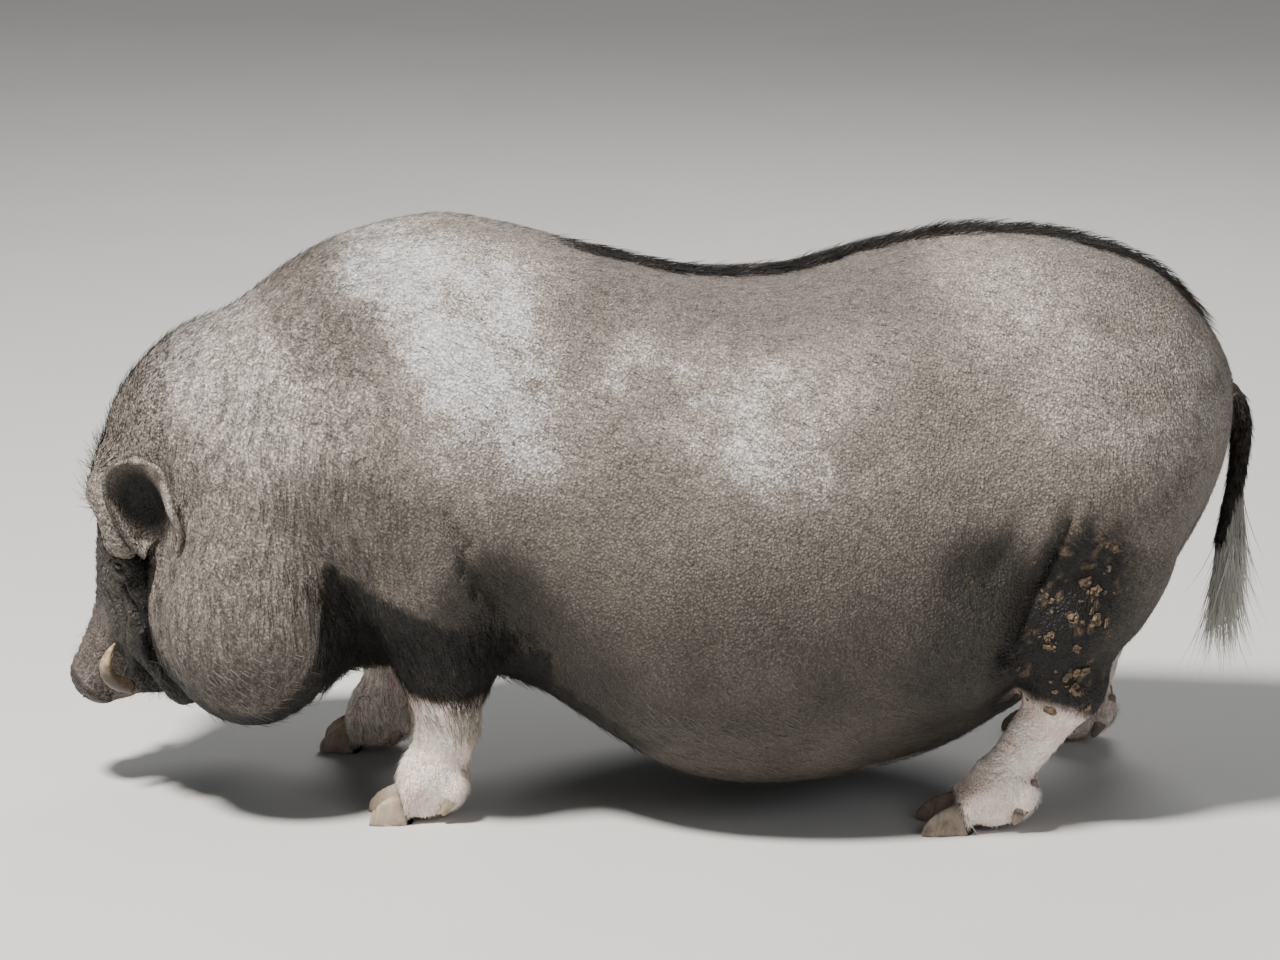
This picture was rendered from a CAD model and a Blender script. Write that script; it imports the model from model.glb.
# %% [markdown]
# # A pot bellied pig, life size
# The pig stands and grazes, its nose just above the ground. Its solids come from the packed
# model: this script dresses them. One skin is laid over all the flesh, so that no seam shows.
# The eyes, tusks, claws, ears and tail are pieces of their own, and the coat is made of
# thousands of small mesh tufts. Everything is in metres, +Z up, with the head towards -X.

import math

import bmesh
import bpy
import numpy as np
from mathutils import Matrix, Vector
from mathutils.bvhtree import BVHTree


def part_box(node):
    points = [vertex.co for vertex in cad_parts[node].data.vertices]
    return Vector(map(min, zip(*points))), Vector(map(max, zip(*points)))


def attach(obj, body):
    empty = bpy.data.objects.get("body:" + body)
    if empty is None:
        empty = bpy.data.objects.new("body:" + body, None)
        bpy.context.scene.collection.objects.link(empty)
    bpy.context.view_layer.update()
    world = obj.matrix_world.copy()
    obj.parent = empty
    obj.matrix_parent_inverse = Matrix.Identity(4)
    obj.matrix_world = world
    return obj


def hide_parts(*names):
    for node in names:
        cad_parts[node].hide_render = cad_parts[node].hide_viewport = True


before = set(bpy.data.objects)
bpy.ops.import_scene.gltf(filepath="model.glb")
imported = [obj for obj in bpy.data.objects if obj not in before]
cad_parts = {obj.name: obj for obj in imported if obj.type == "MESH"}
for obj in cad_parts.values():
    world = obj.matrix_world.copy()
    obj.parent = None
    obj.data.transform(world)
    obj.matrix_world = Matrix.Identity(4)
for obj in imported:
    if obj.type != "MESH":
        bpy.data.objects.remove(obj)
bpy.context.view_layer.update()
LEFT, RIGHT = -1, 1       # the pig's left side is -Y
SIDES = ((LEFT, "left"), (RIGHT, "right"))

# %% [markdown]
# ## Where the body's own coordinates lie
# The solids were moved a few millimetres sideways after they were built, to centre them. All
# shapes below use the coordinates of before that move, so the script measures the move from
# the left eye, a plain ball whose first place is known, and adds it to each finished mesh.

# %% The shift from the body's coordinates to the frame
EYE_CENTRE = Vector((-0.4890, 0.0720, 0.2330))     # of the right eye; the left has -Y
low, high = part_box("eye_left")
SHIFT = (low + high) / 2 - Vector((EYE_CENTRE.x, -EYE_CENTRE.y, EYE_CENTRE.z))
SHIFT.z = 0.0
print("shift in mm", [round(v * 1000, 2) for v in SHIFT])

# %% [markdown]
# ## The body as one blended form
# A fat animal has few hard edges: its skin rolls from one form into the next. Modelling by
# hand with a subdivision surface would do, but the skin has to match the solids. So the
# same simple forms are used: ellipsoids, tapered rods and a trunk lofted along X.
# Each form gives the distance from any point to its surface, and a smooth minimum of these
# distances melts the forms together, like clay.

# %% Forms that measure distance


def rotation(pitch=0.0, yaw=0.0):
    """Turns by pitch about Y, then by yaw about Z, in degrees."""
    return Matrix.Rotation(math.radians(yaw), 3, "Z") @ Matrix.Rotation(math.radians(pitch), 3, "Y")


class Ball:
    """An ellipsoid."""

    def __init__(self, centre, radii, pitch=0.0, yaw=0.0):
        self.centre, self.radii = np.array(centre), np.array(radii)
        self.turn = np.array(rotation(pitch, yaw))

    def distance(self, points):
        local = (points - self.centre) @ self.turn
        near = np.linalg.norm(local / self.radii, axis=1)
        slope = np.linalg.norm(local / self.radii ** 2, axis=1)
        return near * (near - 1.0) / np.maximum(slope, 1e-6)

    def balls(self):
        return [(self.centre, self.radii, self.turn)]


class Rod:
    """A round bar that tapers from one ball to another."""

    def __init__(self, start, end, start_radius, end_radius):
        self.start, self.end = np.array(start), np.array(end)
        self.start_radius, self.end_radius = start_radius, end_radius

    def distance(self, points):
        along = self.end - self.start
        share = np.clip((points - self.start) @ along / (along @ along), 0.0, 1.0)
        away = np.linalg.norm(points - self.start - share[:, None] * along, axis=1)
        return away - self.start_radius - share * (self.end_radius - self.start_radius)

    def balls(self):
        shares = np.linspace(0.0, 1.0, 7)
        radii = self.start_radius + shares * (self.end_radius - self.start_radius)
        return [(self.start + s * (self.end - self.start), np.full(3, r), np.eye(3)) for s, r in zip(shares, radii)]


class Block:
    """A turned box."""

    def __init__(self, centre, size, pitch=0.0, yaw=0.0):
        self.centre, self.half = np.array(centre), np.array(size) / 2
        self.turn = np.array(rotation(pitch, yaw))

    def distance(self, points):
        past = np.abs((points - self.centre) @ self.turn) - self.half
        outside = np.linalg.norm(np.maximum(past, 0.0), axis=1)
        return outside + np.minimum(past.max(axis=1), 0.0)


def melt(one, two, width):
    """The two forms as one, with the crease between them filled over this width."""
    share = np.clip(0.5 + 0.5 * (two - one) / width, 0.0, 1.0)
    return two * (1 - share) + one * share - width * share * (1 - share)


def groove(body, cut, width):
    """The body with the cut form pressed into it, its edge rounded over this width."""
    return -melt(-body, cut, width)


def ease(value, low, high):
    """Rises smoothly from 0 at low to 1 at high."""
    share = np.clip((value - low) / (high - low), 0.0, 1.0)
    return share * share * (3 - 2 * share)


print("two balls 2 cm apart melt to", round(float(melt(0.01, 0.01, 0.02)), 4), "m between them")

# %% [markdown]
# ## The trunk
# Ribs, belly and back change slowly along the body, so the trunk is a loft: a few stations,
# each with a height, a reach above and below it and a half width. A cubic runs through the
# squares of the reaches, which lets the two ends close as round domes.

# %% The trunk's stations and its loft
TRUNK = (
    (-0.500, 0.270, 0.000, 0.000, 0.000),
    (-0.455, 0.285, 0.118, 0.105, 0.100),
    (-0.400, 0.300, 0.154, 0.160, 0.136),
    (-0.330, 0.318, 0.191, 0.190, 0.164),
    (-0.260, 0.322, 0.218, 0.197, 0.180),
    (-0.200, 0.322, 0.228, 0.197, 0.186),
    (-0.120, 0.302, 0.235, 0.195, 0.190),
    (-0.045, 0.268, 0.247, 0.200, 0.204),
    (0.045, 0.232, 0.265, 0.203, 0.225),
    (0.120, 0.222, 0.278, 0.200, 0.234),
    (0.200, 0.235, 0.288, 0.208, 0.230),
    (0.283, 0.262, 0.275, 0.212, 0.211),
    (0.350, 0.290, 0.247, 0.200, 0.193),
    (0.424, 0.325, 0.198, 0.175, 0.169),
    (0.472, 0.352, 0.148, 0.160, 0.143),
    (0.505, 0.370, 0.101, 0.125, 0.111),
    (0.530, 0.379, 0.060, 0.080, 0.073),
    (0.548, 0.383, 0.000, 0.000, 0.000),
)
TRUNK_SQUARENESS = 2.15   # 2 is an ellipse in section


def smooth_curve(places, values, at):
    """A cubic through the stations, with slopes from each one's neighbours."""
    slopes = np.gradient(values, places)
    index = np.clip(np.searchsorted(places, at) - 1, 0, len(places) - 2)
    width = places[index + 1] - places[index]
    share = np.clip((at - places[index]) / width, 0.0, 1.0)
    one, two = values[index], values[index + 1]
    lead, trail = slopes[index] * width, slopes[index + 1] * width
    return (one * (1 + 2 * share) * (1 - share) ** 2 + lead * share * (1 - share) ** 2
            + two * share ** 2 * (3 - 2 * share) + trail * share ** 2 * (share - 1))


class Trunk:
    """A loft along X. Its reaches are joined by their squares, so that its ends are round."""

    def __init__(self, stations):
        table = np.array(stations).T
        self.places, self.levels = table[0], table[1]
        self.up, self.down, self.half = table[2] ** 2, table[3] ** 2, table[4] ** 2

    def section(self, x):
        least = 1e-5
        up, down, half = (np.sqrt(np.maximum(smooth_curve(self.places, square, x), least))
                          for square in (self.up, self.down, self.half))
        return smooth_curve(self.places, self.levels, x), up, down, half

    def distance(self, points):
        level, up, down, half = self.section(points[:, 0])
        rise = points[:, 2] - level
        reach = np.where(rise > 0, up, down)
        spread = (np.abs(points[:, 1]) / half) ** TRUNK_SQUARENESS
        radius = (spread + (np.abs(rise) / reach) ** TRUNK_SQUARENESS) ** (1 / TRUNK_SQUARENESS)
        past = np.maximum(self.places[0] - points[:, 0], points[:, 0] - self.places[-1])
        return (radius - 1.0) * np.minimum(half, reach) + np.maximum(past, 0.0)

    def balls(self):
        """Overlapping balls inside the loft."""
        found = []
        for x in np.linspace(self.places[0] + 0.02, self.places[-1] - 0.01, 40):
            level, up, down, half = (float(v[0]) for v in self.section(np.array([x])))
            middle = (x, 0.0, level + (up - down) / 2)
            found.append((np.array(middle), np.array((0.03, half * 0.97, (up + down) * 0.485)), np.eye(3)))
        return found


BODY = Trunk(TRUNK)
print("trunk", len(TRUNK), "stations from", TRUNK[0][0], "to", TRUNK[-1][0])

# %% [markdown]
# ## Legs
# Each leg is a row of rods and balls from the shoulder or hip down to the toes. The animal is
# caught in mid-step, so every foot has its own place. A pig walks on two main claws and
# carries two small dewclaws behind and above them, each on a pad of its own.

# %% Sizes and forms of the legs
FORE_FETLOCK = {LEFT: (-0.204, 0.112, 6), RIGHT: (-0.262, 0.108, 6)}   # along X, outwards, turned out
HIND_FETLOCK = {LEFT: (0.325, 0.140, 5), RIGHT: (0.423, 0.136, 5)}
FETLOCK_HEIGHT = 0.048
HOCK = {LEFT: (0.384, 0.142, 0.128), RIGHT: (0.448, 0.134, 0.132)}
TOE_SPREAD = 13           # degrees that each claw turns from the foot's own line
FORE_REACH, HIND_REACH = 0.026, 0.035     # fetlock to the coronet, where the claw starts
FORE_CLAW, HIND_CLAW = 0.035, 0.043       # length of the claws
DEWCLAW_LENGTH = 0.024
CORONET_PITCH = -14       # degrees that the coronet leans back at the top


def toe_reach(fetlock):
    return FORE_REACH if fetlock[0] < 0 else HIND_REACH


def toe_line(fetlock, side, claw, reach):
    """A point on a claw's own line, this far from the fetlock. Claw is -1 inside, 1 outside."""
    x, out, turn = fetlock
    angle = math.radians(turn + claw * TOE_SPREAD)
    away = Vector((-math.cos(angle), side * math.sin(angle), 0.0))
    root = Vector((x, side * (out + claw * 0.0085), 0.0))
    return root + away * reach, away


def dewclaw_line(fetlock, side, claw):
    """Root and tip of a dewclaw, behind and above the claws."""
    x, out, _ = fetlock
    start = Vector((x + 0.021, side * (out + claw * 0.021), 0.0290))
    way = Vector((-0.42, side * claw * 0.16, -0.86)).normalized()
    return start, start + way * DEWCLAW_LENGTH


def foot_forms(fetlock, side, ankle_radius):
    """The fetlock, two toes and the pads of two dewclaws."""
    x, out, _ = fetlock
    middle = (x, side * out, FETLOCK_HEIGHT)
    forms = [
        (Ball((x - 0.003, side * out, 0.040), (0.029, 0.030, 0.027)), 0.012),
        (Ball((x + 0.006, side * out, 0.022), (0.026, 0.025, 0.018)), 0.010),
    ]
    for claw in (-1, 1):
        knuckle, _ = toe_line(fetlock, side, claw, 0.016)
        tip, _ = toe_line(fetlock, side, claw, toe_reach(fetlock) + 0.004)
        forms.append((Rod((knuckle.x, knuckle.y, 0.034), (tip.x, tip.y, 0.0185), 0.0185, 0.0150), 0.005))
        forms.append((Ball((knuckle.x + 0.006, knuckle.y, 0.016), (0.018, 0.0125, 0.0125)), 0.006))
        start, end = dewclaw_line(fetlock, side, claw)
        pad = start + (start - end).normalized() * 0.008
        forms.append((Rod(middle, tuple(pad), ankle_radius * 0.6, 0.0115), 0.009))
        forms.append((Ball(tuple(start), (0.0105, 0.0100, 0.0100)), 0.005))
    return forms


def fore_forms(side):
    """Shoulder, upper arm, forearm and foot."""
    x, out, _ = FORE_FETLOCK[side]
    wrist = (x + 0.014, side * out, 0.090)
    lean = (x - FORE_FETLOCK[LEFT][0]) * 0.45
    elbow = (-0.188 + lean, side * 0.129, 0.184)
    elbow_point = (-0.156 + lean, side * 0.130, 0.192)
    forms = [
        (Ball((-0.200, side * 0.120, 0.285), (0.098, 0.070, 0.140), pitch=-12), 0.05),
        (Rod((-0.200 + lean * 0.5, side * 0.130, 0.228), elbow, 0.068, 0.051), 0.03),
        (Rod((-0.189 + lean, side * 0.127, 0.170), wrist, 0.050, 0.0255), 0.018),
        (Rod(elbow_point, (-0.176 + lean, side * 0.122, 0.146), 0.028, 0.020), 0.015),
        (Rod(wrist, (x + 0.004, side * out, FETLOCK_HEIGHT), 0.0252, 0.0280), 0.012),
        (Rod((x + 0.030, side * out, 0.098), (x + 0.018, side * out, 0.056), 0.0120, 0.0150), 0.012),
    ]
    return forms + foot_forms(FORE_FETLOCK[side], side, 0.0285)


def hind_forms(side):
    """Thigh, stifle, hock, shank and foot."""
    x, out, _ = HIND_FETLOCK[side]
    hx, hy, hz = HOCK[side]
    shift = hx - HOCK[LEFT][0]
    ankle = (x + 0.006, side * out, FETLOCK_HEIGHT + 0.006)
    stifle = (0.376 + shift * 0.7, side * 0.136, 0.190)
    forms = [
        (Ball((0.400 + shift * 0.25, side * 0.112, 0.275), (0.090, 0.070, 0.130), pitch=8), 0.04),
        (Ball((0.366 + shift * 0.55, side * 0.137, 0.196), (0.055, 0.050, 0.060)), 0.03),
        (Rod(stifle, (hx - 0.004, side * hy, hz + 0.016), 0.053, 0.036), 0.025),
        (Ball((hx + 0.017, side * hy, hz + 0.008), (0.019, 0.020, 0.026), pitch=20), 0.016),
        (Rod((hx - 0.002, side * hy, hz), ankle, 0.0290, 0.0225), 0.014),
    ]
    return forms + foot_forms(HIND_FETLOCK[side], side, 0.0290)


def coronet_block(fetlock, side):
    """Everything in front of the coronets, whose plane leans back at the top."""
    x, out, turn = fetlock
    angle = math.radians(turn)
    way = Vector((-math.cos(angle), side * math.sin(angle), 0.0))
    centre = Vector((x, side * out, 0.0)) + way * (toe_reach(fetlock) + 0.05)
    return Block(centre, (0.10, 0.11, 0.10), CORONET_PITCH, -side * turn)


FORE = {side: fore_forms(side) for side, _ in SIDES}
HIND = {side: hind_forms(side) for side, _ in SIDES}
CORONETS = [coronet_block(feet[side], side) for feet in (FORE_FETLOCK, HIND_FETLOCK) for side, _ in SIDES]
print("a foreleg has", len(FORE[LEFT]), "forms and a hind leg", len(HIND[LEFT]))

# %% [markdown]
# ## The head
# An old, fat pig of this kind has a short face that is nearly hidden by rolls: a heavy brow, a
# cheek roll that folds over the eye, hanging jowls and a throat between them. The forms below
# are for one side, and a fold of space at Y = 0 mirrors them. The eye slit, the mouth, the
# nostrils and the folds behind the elbow and before the thigh are pressed in as grooves.

# %% Sizes and forms of the head
EYE_OUT = Vector((-0.66, 0.74, 0.05)).normalized()
EYE_LINE = Vector((-0.70, -0.64, 0.10)).normalized()
EYE_RADIUS = 0.0105
NOSE_CENTRE = Vector((-0.5305, 0.0, 0.0980))
NOSE_NORMAL = Vector((-0.66, 0.0, -0.75)).normalized()
NOSE_PITCH = math.degrees(math.atan2(NOSE_NORMAL.x, NOSE_NORMAL.z))

FACE = [
    (Ball((-0.412, 0.0, 0.330), (0.100, 0.092, 0.106)), 0.03),
    (Ball((-0.443, 0.0, 0.252), (0.079, 0.080, 0.120)), 0.03),
    (Rod((-0.466, 0.0, 0.205), (-0.500, 0.0, 0.130), 0.056, 0.036), 0.022),
    (Rod((-0.495, 0.0, 0.140), tuple(NOSE_CENTRE - NOSE_NORMAL * 0.014), 0.038, 0.031), 0.014),
    (Rod((-0.497, 0.0, 0.101), (-0.430, 0.0, 0.135), 0.0165, 0.048), 0.010),
    (Rod((-0.476, 0.044, 0.205), (-0.487, 0.036, 0.150), 0.036, 0.026), 0.018),
    (Rod((-0.504, 0.034, 0.322), (-0.505, 0.066, 0.300), 0.016, 0.015), 0.016),
    (Rod((-0.504, 0.068, 0.305), (-0.487, 0.101, 0.266), 0.017, 0.020), 0.019),
    (Rod((-0.505, 0.050, 0.216), (-0.474, 0.084, 0.211), 0.010, 0.013), 0.010),
    (Rod((-0.474, 0.083, 0.230), (-0.466, 0.088, 0.165), 0.0155, 0.021), 0.008),
    (Rod((-0.466, 0.088, 0.165), (-0.436, 0.080, 0.118), 0.021, 0.020), 0.010),
    (Rod((-0.488, 0.060, 0.190), (-0.481, 0.062, 0.130), 0.013, 0.016), 0.009),
    (Rod((-0.518, 0.034, 0.146), (-0.521, 0.036, 0.116), 0.008, 0.009), 0.006),
]
NOSE = [
    (Ball(tuple(NOSE_CENTRE), (0.0235, 0.0345, 0.0105), pitch=NOSE_PITCH), 0.006),
    (Ball(tuple(NOSE_CENTRE - NOSE_NORMAL * 0.007), (0.0215, 0.0310, 0.0110), pitch=NOSE_PITCH), 0.008),
]
LIDS = [(Ball(tuple(EYE_CENTRE), (0.0150, 0.0150, 0.0140)), 0.006)]
JOWL = [
    (Ball((-0.371, 0.098, 0.190), (0.088, 0.088, 0.102)), 0.03),
    (Rod((-0.372, 0.098, 0.205), (-0.365, 0.092, 0.300), 0.085, 0.064), 0.03),
    (Ball((-0.352, 0.0, 0.210), (0.100, 0.110, 0.112)), 0.04),
]
FLANK = [
    (Ball((0.262, 0.168, 0.190), (0.088, 0.052, 0.070), pitch=-18), 0.03),
    (Ball((0.090, 0.118, 0.195), (0.175, 0.114, 0.145)), 0.05),
]
SLIT_MIDDLE = EYE_CENTRE + EYE_OUT * 0.0145
NOSTRIL = NOSE_CENTRE + Vector((0.0, 0.0135, 0.0))
FACE_GROOVES = [
    (Rod(tuple(SLIT_MIDDLE - EYE_LINE * 0.0085), tuple(SLIT_MIDDLE + EYE_LINE * 0.0085), 0.0052, 0.0046), 0.0025),
    (Rod((-0.5120, 0.0, 0.345), (-0.5200, 0.0, 0.275), 0.0060, 0.0040), 0.012),
    (Rod((-0.500, 0.062, 0.142), (-0.492, 0.066, 0.112), 0.0095, 0.0080), 0.006),
    (Rod((-0.518, 0.0, 0.0790), (-0.508, 0.036, 0.1010), 0.0022, 0.0026), 0.004),
    (Rod((-0.508, 0.036, 0.1010), (-0.470, 0.066, 0.1350), 0.0026, 0.0020), 0.004),
    (Rod(tuple(NOSTRIL + NOSE_NORMAL * 0.012), tuple(NOSTRIL - NOSE_NORMAL * 0.008), 0.0056, 0.0042), 0.003),
]
BODY_GROOVES = [
    (Rod((-0.322, 0.196, 0.285), (-0.300, 0.184, 0.225), 0.002, 0.010), 0.016),
    (Rod((-0.300, 0.184, 0.225), (-0.266, 0.152, 0.150), 0.010, 0.018), 0.020),
    (Rod((-0.178, 0.210, 0.295), (-0.150, 0.202, 0.240), 0.001, 0.006), 0.012),
    (Rod((-0.150, 0.202, 0.240), (-0.122, 0.172, 0.178), 0.006, 0.014), 0.016),
    (Rod((0.376, 0.194, 0.305), (0.352, 0.199, 0.250), 0.001, 0.006), 0.016),
    (Rod((0.352, 0.199, 0.250), (0.328, 0.200, 0.185), 0.006, 0.009), 0.020),
]
print("head", len(FACE + NOSE + JOWL + LIDS), "forms,", len(FACE_GROOVES + BODY_GROOVES), "grooves")

# %% [markdown]
# ## All forms as one distance
# The head melts widely into the neck above, where the poll is smooth, and tightly below, where
# the jowls hang free. The legs do the same at shoulder and hip. Regions that a form can't
# reach are left out, which makes the sum several times faster.

# %% The distance to the whole skin


def join_forms(points, forms):
    """Blends a list of forms, each with the width of its own crease."""
    total = forms[0][0].distance(points)
    for form, width in forms[1:]:
        total = melt(total, form.distance(points), width)
    return total


def melt_near(total, points, near, forms, width):
    """Melts the forms into the total, at the points that are near enough to matter."""
    if near.any():
        total[near] = melt(total[near], join_forms(points[near], forms), width[near])


def press(total, points, near, grooves):
    """Presses grooves into the total, at the points that are near enough to matter."""
    for form, width in grooves:
        total[near] = groove(total[near], form.distance(points[near]), width)


def body_distance(points):
    """How far points are outside the pig's skin. Its sides are alike apart from the legs."""
    folded = points * (1, 0, 1) + np.abs(points) * (0, 1, 0)
    x, height = points[:, 0], points[:, 2]
    total = BODY.distance(points)
    for form, width in FLANK:
        total = melt(total, form.distance(folded), width)
    front = x < -0.15
    for form, width in JOWL:
        total[front] = melt(total[front], form.distance(folded[front]), width)
    poll = 0.006 + 0.045 * ease(height, 0.275, 0.360)
    melt_near(total, folded, x < -0.25, FACE + NOSE + LIDS, poll)
    for side, _ in SIDES:
        beside = points[:, 1] * side > -0.03
        fore = beside & (x > -0.42) & (x < -0.02) & (height < 0.50)
        melt_near(total, points, fore, FORE[side], 0.012 + 0.050 * ease(height, 0.190, 0.310))
        hind = beside & (x > 0.20) & (height < 0.50)
        melt_near(total, points, hind, HIND[side], 0.010 + 0.060 * ease(height, 0.230, 0.330))
    press(total, folded, x < -0.38, FACE_GROOVES)
    press(total, folded, (height > 0.10) & (height < 0.37), BODY_GROOVES)
    press(total, points, height < 0.09, [(block, 0.003) for block in CORONETS])
    return total


def slope_at(points, distance, step=0.0004):
    """The direction in which the distance grows, from small steps along each axis."""
    slopes = [(body_distance(points + step * axis) - distance) / step for axis in np.eye(3)]
    return np.stack(slopes, axis=1)


def settle_on_skin(points, rounds=3):
    """Moves points straight onto the blended form's surface."""
    for _ in range(rounds):
        distance = body_distance(points)
        slopes = slope_at(points, distance)
        steep = np.maximum((slopes ** 2).sum(axis=1), 0.05)
        points = points - np.clip(distance[:, None] * slopes / steep[:, None], -0.012, 0.012)
    return points


back = settle_on_skin(np.array([[0.12, 0.0, 0.50]]))[0]
print("the back is", round(float(back[2]), 3), "m high behind the ribs")

# %% [markdown]
# ## From distance to mesh
# A voxel remesh of overlapping balls gives an even, closed mesh near the right shape. Each
# corner then slides along the slope of the distance until it lies on the skin. Doing that
# twice, first coarse and then fine, keeps the quads even. The coarse one is also unwrapped,
# and the coat uses that unwrap as its map of the skin.

# %% Mesh helpers
SKIN_GRID = 0.0044
MAP_GRID = 0.010


def add_object(name, mesh):
    thing = bpy.data.objects.new(name, mesh)
    bpy.context.scene.collection.objects.link(thing)
    return thing


def corners_of(mesh):
    flat = np.empty(len(mesh.vertices) * 3)
    mesh.vertices.foreach_get("co", flat)
    return flat.reshape(-1, 3)


def normals_of(mesh):
    flat = np.empty(len(mesh.vertices) * 3)
    mesh.vertices.foreach_get("normal", flat)
    return flat.reshape(-1, 3)


def move_corners(mesh, points):
    mesh.vertices.foreach_set("co", points.ravel())
    mesh.update()


def apply_modifiers(thing):
    """Makes what the modifiers show the object's own mesh."""
    bpy.context.view_layer.update()
    graph = bpy.context.evaluated_depsgraph_get()
    mesh = bpy.data.meshes.new_from_object(thing.evaluated_get(graph))
    thing.modifiers.clear()
    thing.data = mesh


def rough_body():
    """Every form as an overlapping ball mesh."""
    bm = bmesh.new()
    bmesh.ops.create_uvsphere(bm, u_segments=16, v_segments=10, radius=1.0)
    ball_corners = np.array([vert.co[:] for vert in bm.verts])
    ball_faces = [[vert.index for vert in face.verts] for face in bm.faces]
    bm.free()
    placed = [ball for form, _ in FACE + NOSE + JOWL + FLANK for ball in form.balls()]
    placed += [(centre * (1, -1, 1), radii, turn) for centre, radii, turn in placed]
    placed += BODY.balls()
    for side, _ in SIDES:
        placed += [ball for form, _ in FORE[side] + HIND[side] for ball in form.balls()]
    corners, faces = [], []
    for centre, radii, turn in placed:
        first = len(corners)
        corners += ((ball_corners * radii) @ turn.T + centre).tolist()
        faces += [[first + index for index in face] for face in ball_faces]
    mesh = bpy.data.meshes.new("rough")
    mesh.from_pydata(corners, [], faces)
    return mesh


def even_skin(thing, grid):
    """Remeshes the thing to even squares and lays them on the skin."""
    remesh = thing.modifiers.new("even", "REMESH")
    remesh.mode = "VOXEL"
    remesh.voxel_size = grid
    apply_modifiers(thing)
    move_corners(thing.data, settle_on_skin(corners_of(thing.data)))


skin_map = add_object("skin_map", rough_body())
even_skin(skin_map, MAP_GRID)
skin = add_object("skin", skin_map.data.copy())
even_skin(skin, SKIN_GRID)
print("skin map", len(skin_map.data.polygons), "faces, skin", len(skin.data.polygons))

# %% [markdown]
# ## More corners where the detail is
# Lids, nostrils and the wrinkles of the face are finer than the even grid. A sculptor would
# add levels there. Here the faces of the head's front are cut in four, twice, those of
# the feet once, and the new corners slide onto the skin as well.

# %% Cutting the face and feet finer


def cut_finer(thing, wanted):
    """Cuts in four the faces whose middles are wanted."""
    bm = bmesh.new()
    bm.from_mesh(thing.data)
    middles = np.array([face.calc_center_median() for face in bm.faces])
    chosen = np.nonzero(wanted(middles))[0]
    bm.faces.ensure_lookup_table()
    edges = {edge for index in chosen for edge in bm.faces[index].edges}
    bmesh.ops.subdivide_edges(bm, edges=list(edges), cuts=1, use_grid_fill=True)
    bm.to_mesh(thing.data)
    bm.free()
    points = corners_of(thing.data)
    near = wanted(points)
    points[near] = settle_on_skin(points[near], rounds=2)
    move_corners(thing.data, points)


def on_head_front(p):
    return p[:, 0] < -0.440


def on_feet(p):
    return (p[:, 2] < 0.105) & ((p[:, 0] < -0.12) | (p[:, 0] > 0.24))


cut_finer(skin, lambda p: on_head_front(p) | on_feet(p))
cut_finer(skin, lambda p: (p[:, 0] < -0.462) & (p[:, 2] < 0.38))
print("skin with a finer face", len(skin.data.polygons), "faces")

# %% [markdown]
# ## Noise that can be asked anywhere
# The shader has its own noise, but the shape and the markings need it too. Value noise is
# the simplest: random numbers on a lattice, blended smoothly between its corners.

# %% Value noise
LATTICE = np.random.default_rng(5).uniform(-1.0, 1.0, (32, 32, 32))


def noise(points, size, seed=0):
    """Smooth noise from -1 to 1 whose bumps are about this size."""
    at = points / size + seed * 7.31
    cell = np.floor(at).astype(int)
    share = at - cell
    share = share * share * (3 - 2 * share)
    total = np.zeros(len(points))
    for corner in np.ndindex(2, 2, 2):
        weight = np.prod(np.where(corner, share, 1 - share), axis=1)
        i, j, k = ((cell + corner) % 32).T
        total += weight * LATTICE[i, j, k]
    return total


def rough_noise(points, size, seed=0):
    """Noise with a finer layer on top."""
    return noise(points, size, seed) * 0.65 + noise(points, size / 2.3, seed + 3) * 0.35


print("noise at the origin", round(float(noise(np.zeros((1, 3)), 0.01)[0]), 3))

# %% [markdown]
# ## Wrinkles and folds
# Loose skin folds across the direction in which it is squeezed. Long single folds are drawn
# as creases: a line on the skin, pressed in, with a soft roll on each side. Fine sets of
# wrinkles are waves that run along one direction, bent by noise, and strong only in one
# region. Both move the corners along their normals, so that the folds cast real shadows.

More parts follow.
